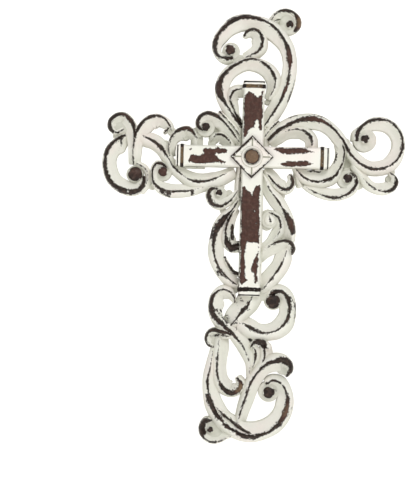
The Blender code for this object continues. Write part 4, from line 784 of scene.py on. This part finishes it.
def buildEye(i, x, z, radius, top, bare):
    profile = [(radius, 0)]
    dome = carving["eyeDome"] * radius
    for turn in (0.0, 0.25, 0.5, 0.75, 1.0, 1.25, 1.45, 1.53):
        profile.append((radius * math.cos(turn), top - dome + dome * math.sin(turn)))

    def worn(px, pz, r, height):
        turn = np.arctan2(pz - z, px - x)
        ragged = 0.35 * np.sin(3 * turn + 1.7 * i) + 0.25 * np.sin(5 * turn + 2.3 * i)
        bareAt = r - bare + ragged + np.clip(top - dome - height, 0, 9)
        # painted shade with grime on the eye's sides below its dome
        return bareAt, warmth(px, pz), np.where(height < top - dome, 0.6, 0.1)
    buildTurned("eye%02d" % i, x, z, profile, carving["eyeSides"], worn)


def buildAll():
    for name, (side, heights, knots) in scrolls.items():
        buildScroll(name, side, heights, knots)
    for i, ground in enumerate(grounds):
        buildGround(i, *ground)
    for i, eye in enumerate(eyes):
        buildEye(i, *eye)
    buildBar("upright", plainCross["upright"], True)
    buildBar("arm", plainCross["arm"], False)
    buildDiamond()
    buildStud()


def applied(thing):
    # the modifiers' result becomes the object's own mesh
    graph = bpy.context.evaluated_depsgraph_get()
    data = bpy.data.meshes.new_from_object(thing.evaluated_get(graph))
    thing.modifiers.clear()
    thing.data = data
    return thing


def joinShells():
    # one body out of all the shells, which all stand on the flat back
    everything = list(shells.objects)
    body = everything[0]
    shells.objects.unlink(body)
    bpy.context.scene.collection.objects.link(body)
    body.name = "paintedCross"
    step = body.modifiers.new("join", "BOOLEAN")
    step.operation = "UNION"
    step.solver = "MANIFOLD"
    step.operand_type = "COLLECTION"
    step.collection = shells
    applied(body)
    for thing in everything[1:]:
        bpy.data.objects.remove(thing, do_unlink=True)
    bpy.data.collections.remove(shells)
    print("joined body:", len(body.data.vertices), "points,", len(body.data.polygons), "faces")
    return body


def markSpots(body):
    # the small bare spots, flakes and one painted shadow go over what the shells brought along
    data = body.data
    layer = data.attributes["finishAndShade"]
    finishAndShade = valuesOf(layer.data, "vector", 3, np.float32)
    corners = valuesOf(data.loops, "vertex_index", 1, int)[:, 0]
    place = valuesOf(data.vertices, "co", 3)[corners]
    x, z, depth = place[:, 0] / drawn, place[:, 2] / drawn, -place[:, 1] / mm
    onBack = valuesOf(data.polygons, "normal", 3)[:, 1] > 0.9
    finishAndShade[np.repeat(onBack, valuesOf(data.polygons, "loop_total", 1, int)[:, 0])] = backFinish
    # painted shade: the paint darkens towards the back
    finishAndShade[:, 2] += carving["lowPaintedShade"] * np.clip((8 - depth) / 5, 0, 1) * (depth > 0.1)
    # dirt and painted shade in the creases, stronger lower down
    for sx, sz, reach, amount in stainsAndShade:
        near = nearness(x, z, sx, sz, reach) * np.clip((12.5 - depth) / 6, 0.15, 1)
        finishAndShade[:, 2] = np.maximum(finishAndShade[:, 2], amount * np.minimum(1, 2 * near))
    marked = depth > carving["wearFrom"]
    for sx, sz, length, width, turn, sign in spots:
        c, s = math.cos(math.radians(turn)), math.sin(math.radians(turn))
        u = ((x - sx) * c + (z - sz) * s) / length
        v = (-(x - sx) * s + (z - sz) * c) / width
        away = np.where(marked, (np.hypot(u, v) - 1) * min(length, width), 9)
        if sign > 0:
            finishAndShade[:, 0] = np.minimum(finishAndShade[:, 0], away)
        else:
            finishAndShade[:, 0] = np.maximum(finishAndShade[:, 0], -away)
    for half, run in strokes:
        near = np.full(x.shape, 1e9)
        for start, end in zip(run, run[1:]):
            near = np.minimum(near, fromSegment(x, z, start, end))
        finishAndShade[:, 0] = np.minimum(finishAndShade[:, 0], np.where(marked, near - half, 9))
    layer.data.foreach_set("vector", finishAndShade.ravel())


def hexToLinear(code):
    values = [int(code[i:i + 2], 16) / 255 for i in (0, 2, 4)]
    return tuple(v / 12.92 if v <= 0.04045 else ((v + 0.055) / 1.055) ** 2.4 for v in values) + (1.0,)


def addNode(tree, kind, inputs=None, **settings):
    node = tree.nodes.new(kind)
    for key, value in settings.items():
        setattr(node, key, value)
    for key, value in (inputs or {}).items():
        if isinstance(value, bpy.types.NodeSocket):
            tree.links.new(value, node.inputs[key])
        else:
            node.inputs[key].default_value = value
    return node


# Milk paint brushed over dark-stained cast wood composite and rubbed back on every ridge.
# The eye sees a dull chalky ivory, faint brush streaks, and ragged dark edges with some body to the paint.
paint = {
    # grime is the greenish grey of dirt and painted shade in the hollows
    "ivory": "f0eee5", "ivoryPink": "f1e9e2", "ivoryGreen": "eaeadf", "grimeAndShade": "a9a998",
    "darkWood": "18120d", "redWood": "523229", "tanWood": "9a8262", "dryWood": "6a5347",
    "roughness": 0.55, "woodRoughness": 0.52, "ior": 1.5, "specular": 0.3,
    "tintSize": 28.0, "ragSize": 1.5, "ragDepth": 0.6, "waveSize": 6.0, "waveDepth": 0.35,
    "chipSize": 0.7, "chipDepth": 0.3, "grainSize": 0.5, "brushSize": 0.9,
    "edgeSoft": 0.14, "paintThick": 0.12, "grainShare": 0.5,
    "drySize": 2.4, "dryShare": 0.42,       # dull patches where the stain has dried out lighter
}


def paintedWood():
    p = paint
    material = bpy.data.materials.new("rubbedMilkPaint")
    material.use_nodes = True
    tree = material.node_tree
    tree.nodes.clear()
    finishAndShade = addNode(tree, "ShaderNodeAttribute", attribute_name="finishAndShade", attribute_type="GEOMETRY")
    parts = addNode(tree, "ShaderNodeSeparateXYZ", {"Vector": finishAndShade.outputs["Vector"]})
    bareAt, warm, grimeAndShade = parts.outputs
    place = addNode(tree, "ShaderNodeTexCoord").outputs["Object"]

    def noiseOf(size, detail=3.0, rough=0.6):
        node = addNode(tree, "ShaderNodeTexNoise", {
            "Vector": place, "Scale": 1000 / size, "Detail": detail, "Roughness": rough})
        return node.outputs["Fac"]

    def maths(operation, a, b=0.0, c=0.0):
        return addNode(tree, "ShaderNodeMath", {0: a, 1: b, 2: c}, operation=operation).outputs[0]

    def mixed(share, a, b, blend="MIX"):
        node = addNode(tree, "ShaderNodeMix", {0: share, 6: a, 7: b}, data_type="RGBA", blend_type=blend)
        return node.outputs[2]

    def ranged(value, low, high, outLow=0.0, outHigh=1.0):
        node = addNode(tree, "ShaderNodeMapRange", {0: value, 1: low, 2: high, 3: outLow, 4: outHigh})
        return node.outputs[0]

    def pushed(size, depth, swing, detail=1.0, rough=0.6):
        # noise about zero that moves a border by the depth in mm either way
        return maths("MULTIPLY", maths("SUBTRACT", noiseOf(size, detail, rough), 0.5), 2 * depth / swing)

    # the border of the bare wood, pushed in and out by three sizes of noise
    rag = pushed(p["ragSize"], p["ragDepth"], 0.35, 4.0, 0.65)
    wave = pushed(p["waveSize"], p["waveDepth"], 0.4)
    chip = pushed(p["chipSize"], p["chipDepth"], 0.4)
    border = maths("ADD", maths("ADD", bareAt, rag), maths("ADD", wave, chip))
    bare = ranged(border, p["edgeSoft"], -p["edgeSoft"])

    tint = noiseOf(p["tintSize"], 2.0)
    ivory = mixed(ranged(tint, 0.35, 0.5), hexToLinear(p["ivoryGreen"]), hexToLinear(p["ivory"]))
    ivory = mixed(ranged(tint, 0.52, 0.68), ivory, hexToLinear(p["ivoryPink"]))
    # grime and painted shade pull the paint towards a greenish grey
    dirtAndShade = maths("MULTIPLY", grimeAndShade, ranged(noiseOf(3.0, 3.0), 0.3, 0.7, 0.75, 1.15))
    ivory = mixed(ranged(dirtAndShade, 0.0, 1.0), ivory, hexToLinear(p["grimeAndShade"]))

    wood = mixed(ranged(warm, 0.0, 0.6), hexToLinear(p["darkWood"]), hexToLinear(p["redWood"]))
    wood = mixed(ranged(warm, 0.6, 1.0), wood, hexToLinear(p["tanWood"]))
    grain = noiseOf(p["grainSize"] * 4, 5.0, 0.7)
    wood = mixed(ranged(grain, 0.35, 0.65, 0.0, p["grainShare"]), wood, hexToLinear(p["darkWood"]))
    dry = ranged(noiseOf(p["drySize"], 4.0, 0.7), 0.48, 0.66, 0.0, p["dryShare"])
    wood = mixed(dry, wood, hexToLinear(p["dryWood"]))
    # dark stain next to the paint, and lighter wood in the middle of each rubbed band as a painted
    # highlight along the crests
    wood = mixed(ranged(border, -0.9, -0.1, 0.0, 0.68), wood, hexToLinear(p["darkWood"]))

    colour = mixed(bare, ivory, wood)
    roughness = ranged(bare, 0, 1, p["roughness"], p["woodRoughness"])
    relief = maths("MULTIPLY", bare, -p["paintThick"])
    relief = maths("ADD", relief, maths("MULTIPLY", noiseOf(p["brushSize"], 3.0), 0.10))
    relief = maths("ADD", relief, maths("MULTIPLY", noiseOf(p["grainSize"], 2.0), 0.04))
    bump = addNode(tree, "ShaderNodeBump", {"Strength": 0.8, "Distance": mm, "Height": relief})
    shader = addNode(tree, "ShaderNodeBsdfPrincipled", {
        "Base Color": colour, "Roughness": roughness, "IOR": p["ior"],
        "Specular IOR Level": p["specular"], "Normal": bump.outputs[0]})
    addNode(tree, "ShaderNodeOutputMaterial", {"Surface": shader.outputs[0]})
    return material


def finishBody(body):
    markSpots(body)
    body.data.materials.clear()
    body.data.materials.append(paintedWood())
    body.data.shade_smooth()
    body.data.set_sharp_from_angle(angle=math.radians(carving["sharpAngle"]))
    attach(body, "root")
    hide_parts("scroll_cross")
    print("finished body")


# The room round it: a pale seamless floor well below, soft light from a little above.
studio = {
    "floorDrop": 1.1, "wallBack": 3.0, "wallTop": 6.0, "halfWidth": 24.0, "front": -24.0,
    "cove": 1.2, "coveSteps": 12,
    "paper": "f4f3ef", "paperGlow": 0.42, "sky": "ffffff", "skyStrength": 0.54,
    "lights": [
        ("keyLight", (0.7, -1.6, 1.3), 1.0, 18.0), ("fillLight", (-1.2, -1.5, 0.1), 1.6, 3.0),
    ],
}


def buildStudio():
    s = studio
    low = cadLow.z - s["floorDrop"]
    profile = [(s["front"], low), (s["wallBack"] - s["cove"], low)]
    for k in range(1, s["coveSteps"]):
        turn = k * math.pi / 2 / s["coveSteps"]
        rise = s["cove"] * (1 - math.cos(turn))
        profile.append((s["wallBack"] - s["cove"] * (1 - math.sin(turn)), low + rise))
    profile += [(s["wallBack"], low + s["cove"]), (s["wallBack"], s["wallTop"])]
    verts = [(x, y, z) for x in (-s["halfWidth"], s["halfWidth"]) for y, z in profile]
    n = len(profile)
    data = bpy.data.meshes.new("paperSweep")
    data.from_pydata(verts, [], [(i, i + 1, n + i + 1, n + i) for i in range(n - 1)])
    data.shade_smooth()
    sweep = bpy.data.objects.new("paperSweep", data)
    bpy.context.scene.collection.objects.link(sweep)
    paper = bpy.data.materials.new("palePaper")
    paper.use_nodes = True
    shader = paper.node_tree.nodes["Principled BSDF"]
    shader.inputs["Base Color"].default_value = hexToLinear(s["paper"])
    shader.inputs["Roughness"].default_value = 0.9
    shader.inputs["Emission Color"].default_value = hexToLinear(s["sky"])
    shader.inputs["Emission Strength"].default_value = s["paperGlow"]
    data.materials.append(paper)
    world = bpy.data.worlds.new("paleRoom")
    world.use_nodes = True
    world.node_tree.nodes["Background"].inputs["Color"].default_value = hexToLinear(s["sky"])
    world.node_tree.nodes["Background"].inputs["Strength"].default_value = s["skyStrength"]
    bpy.context.scene.world = world
    for name, place, size, power in s["lights"]:
        light = bpy.data.lights.new(name, "AREA")
        light.shape = "DISK"
        light.size = size
        light.energy = power
        lamp = bpy.data.objects.new(name, light)
        lamp.location = place
        aim = Vector((0, 0, -0.045)) - Vector(place)
        lamp.rotation_euler = aim.to_track_quat("-Z", "Y").to_euler()
        bpy.context.scene.collection.objects.link(lamp)
    print("studio set")


# The view: straight on, the frame rolled a little, the cross's middle right of the frame's and above it.
view = {
    "frame": (407, 500), "crossAt": (251.75, 157.15), "mmPerPixel": 0.6954, "roll": 1.5,
    "lens": 100.0, "sensor": 36.0, "sharpDepth": 11.0,
}


def buildCamera():
    v = view
    wide, high = v["frame"]
    acrossMm = (wide / 2 - v["crossAt"][0]) * v["mmPerPixel"]
    upMm = (v["crossAt"][1] - high / 2) * v["mmPerPixel"]
    roll = math.radians(v["roll"])
    distance = max(v["frame"]) * v["mmPerPixel"] * v["lens"] / v["sensor"]
    right = Vector((math.cos(roll), 0, math.sin(roll)))
    up = Vector((-math.sin(roll), 0, math.cos(roll)))
    data = bpy.data.cameras.new("camera")
    data.lens = v["lens"]
    data.sensor_width = v["sensor"]
    camera = bpy.data.objects.new("camera", data)
    place = right * acrossMm * mm + up * upMm * mm + Vector((0, -(v["sharpDepth"] + distance) * mm, 0))
    turn = Matrix((right, up, Vector((0, -1, 0)))).transposed()
    camera.matrix_world = Matrix.Translation(place) @ turn.to_4x4()
    bpy.context.scene.collection.objects.link(camera)
    bpy.context.scene.camera = camera
    bpy.context.scene.view_settings.view_transform = "Standard"
    print("camera set")


buildCamera()
buildStudio()
buildAll()
finishBody(joinShells())
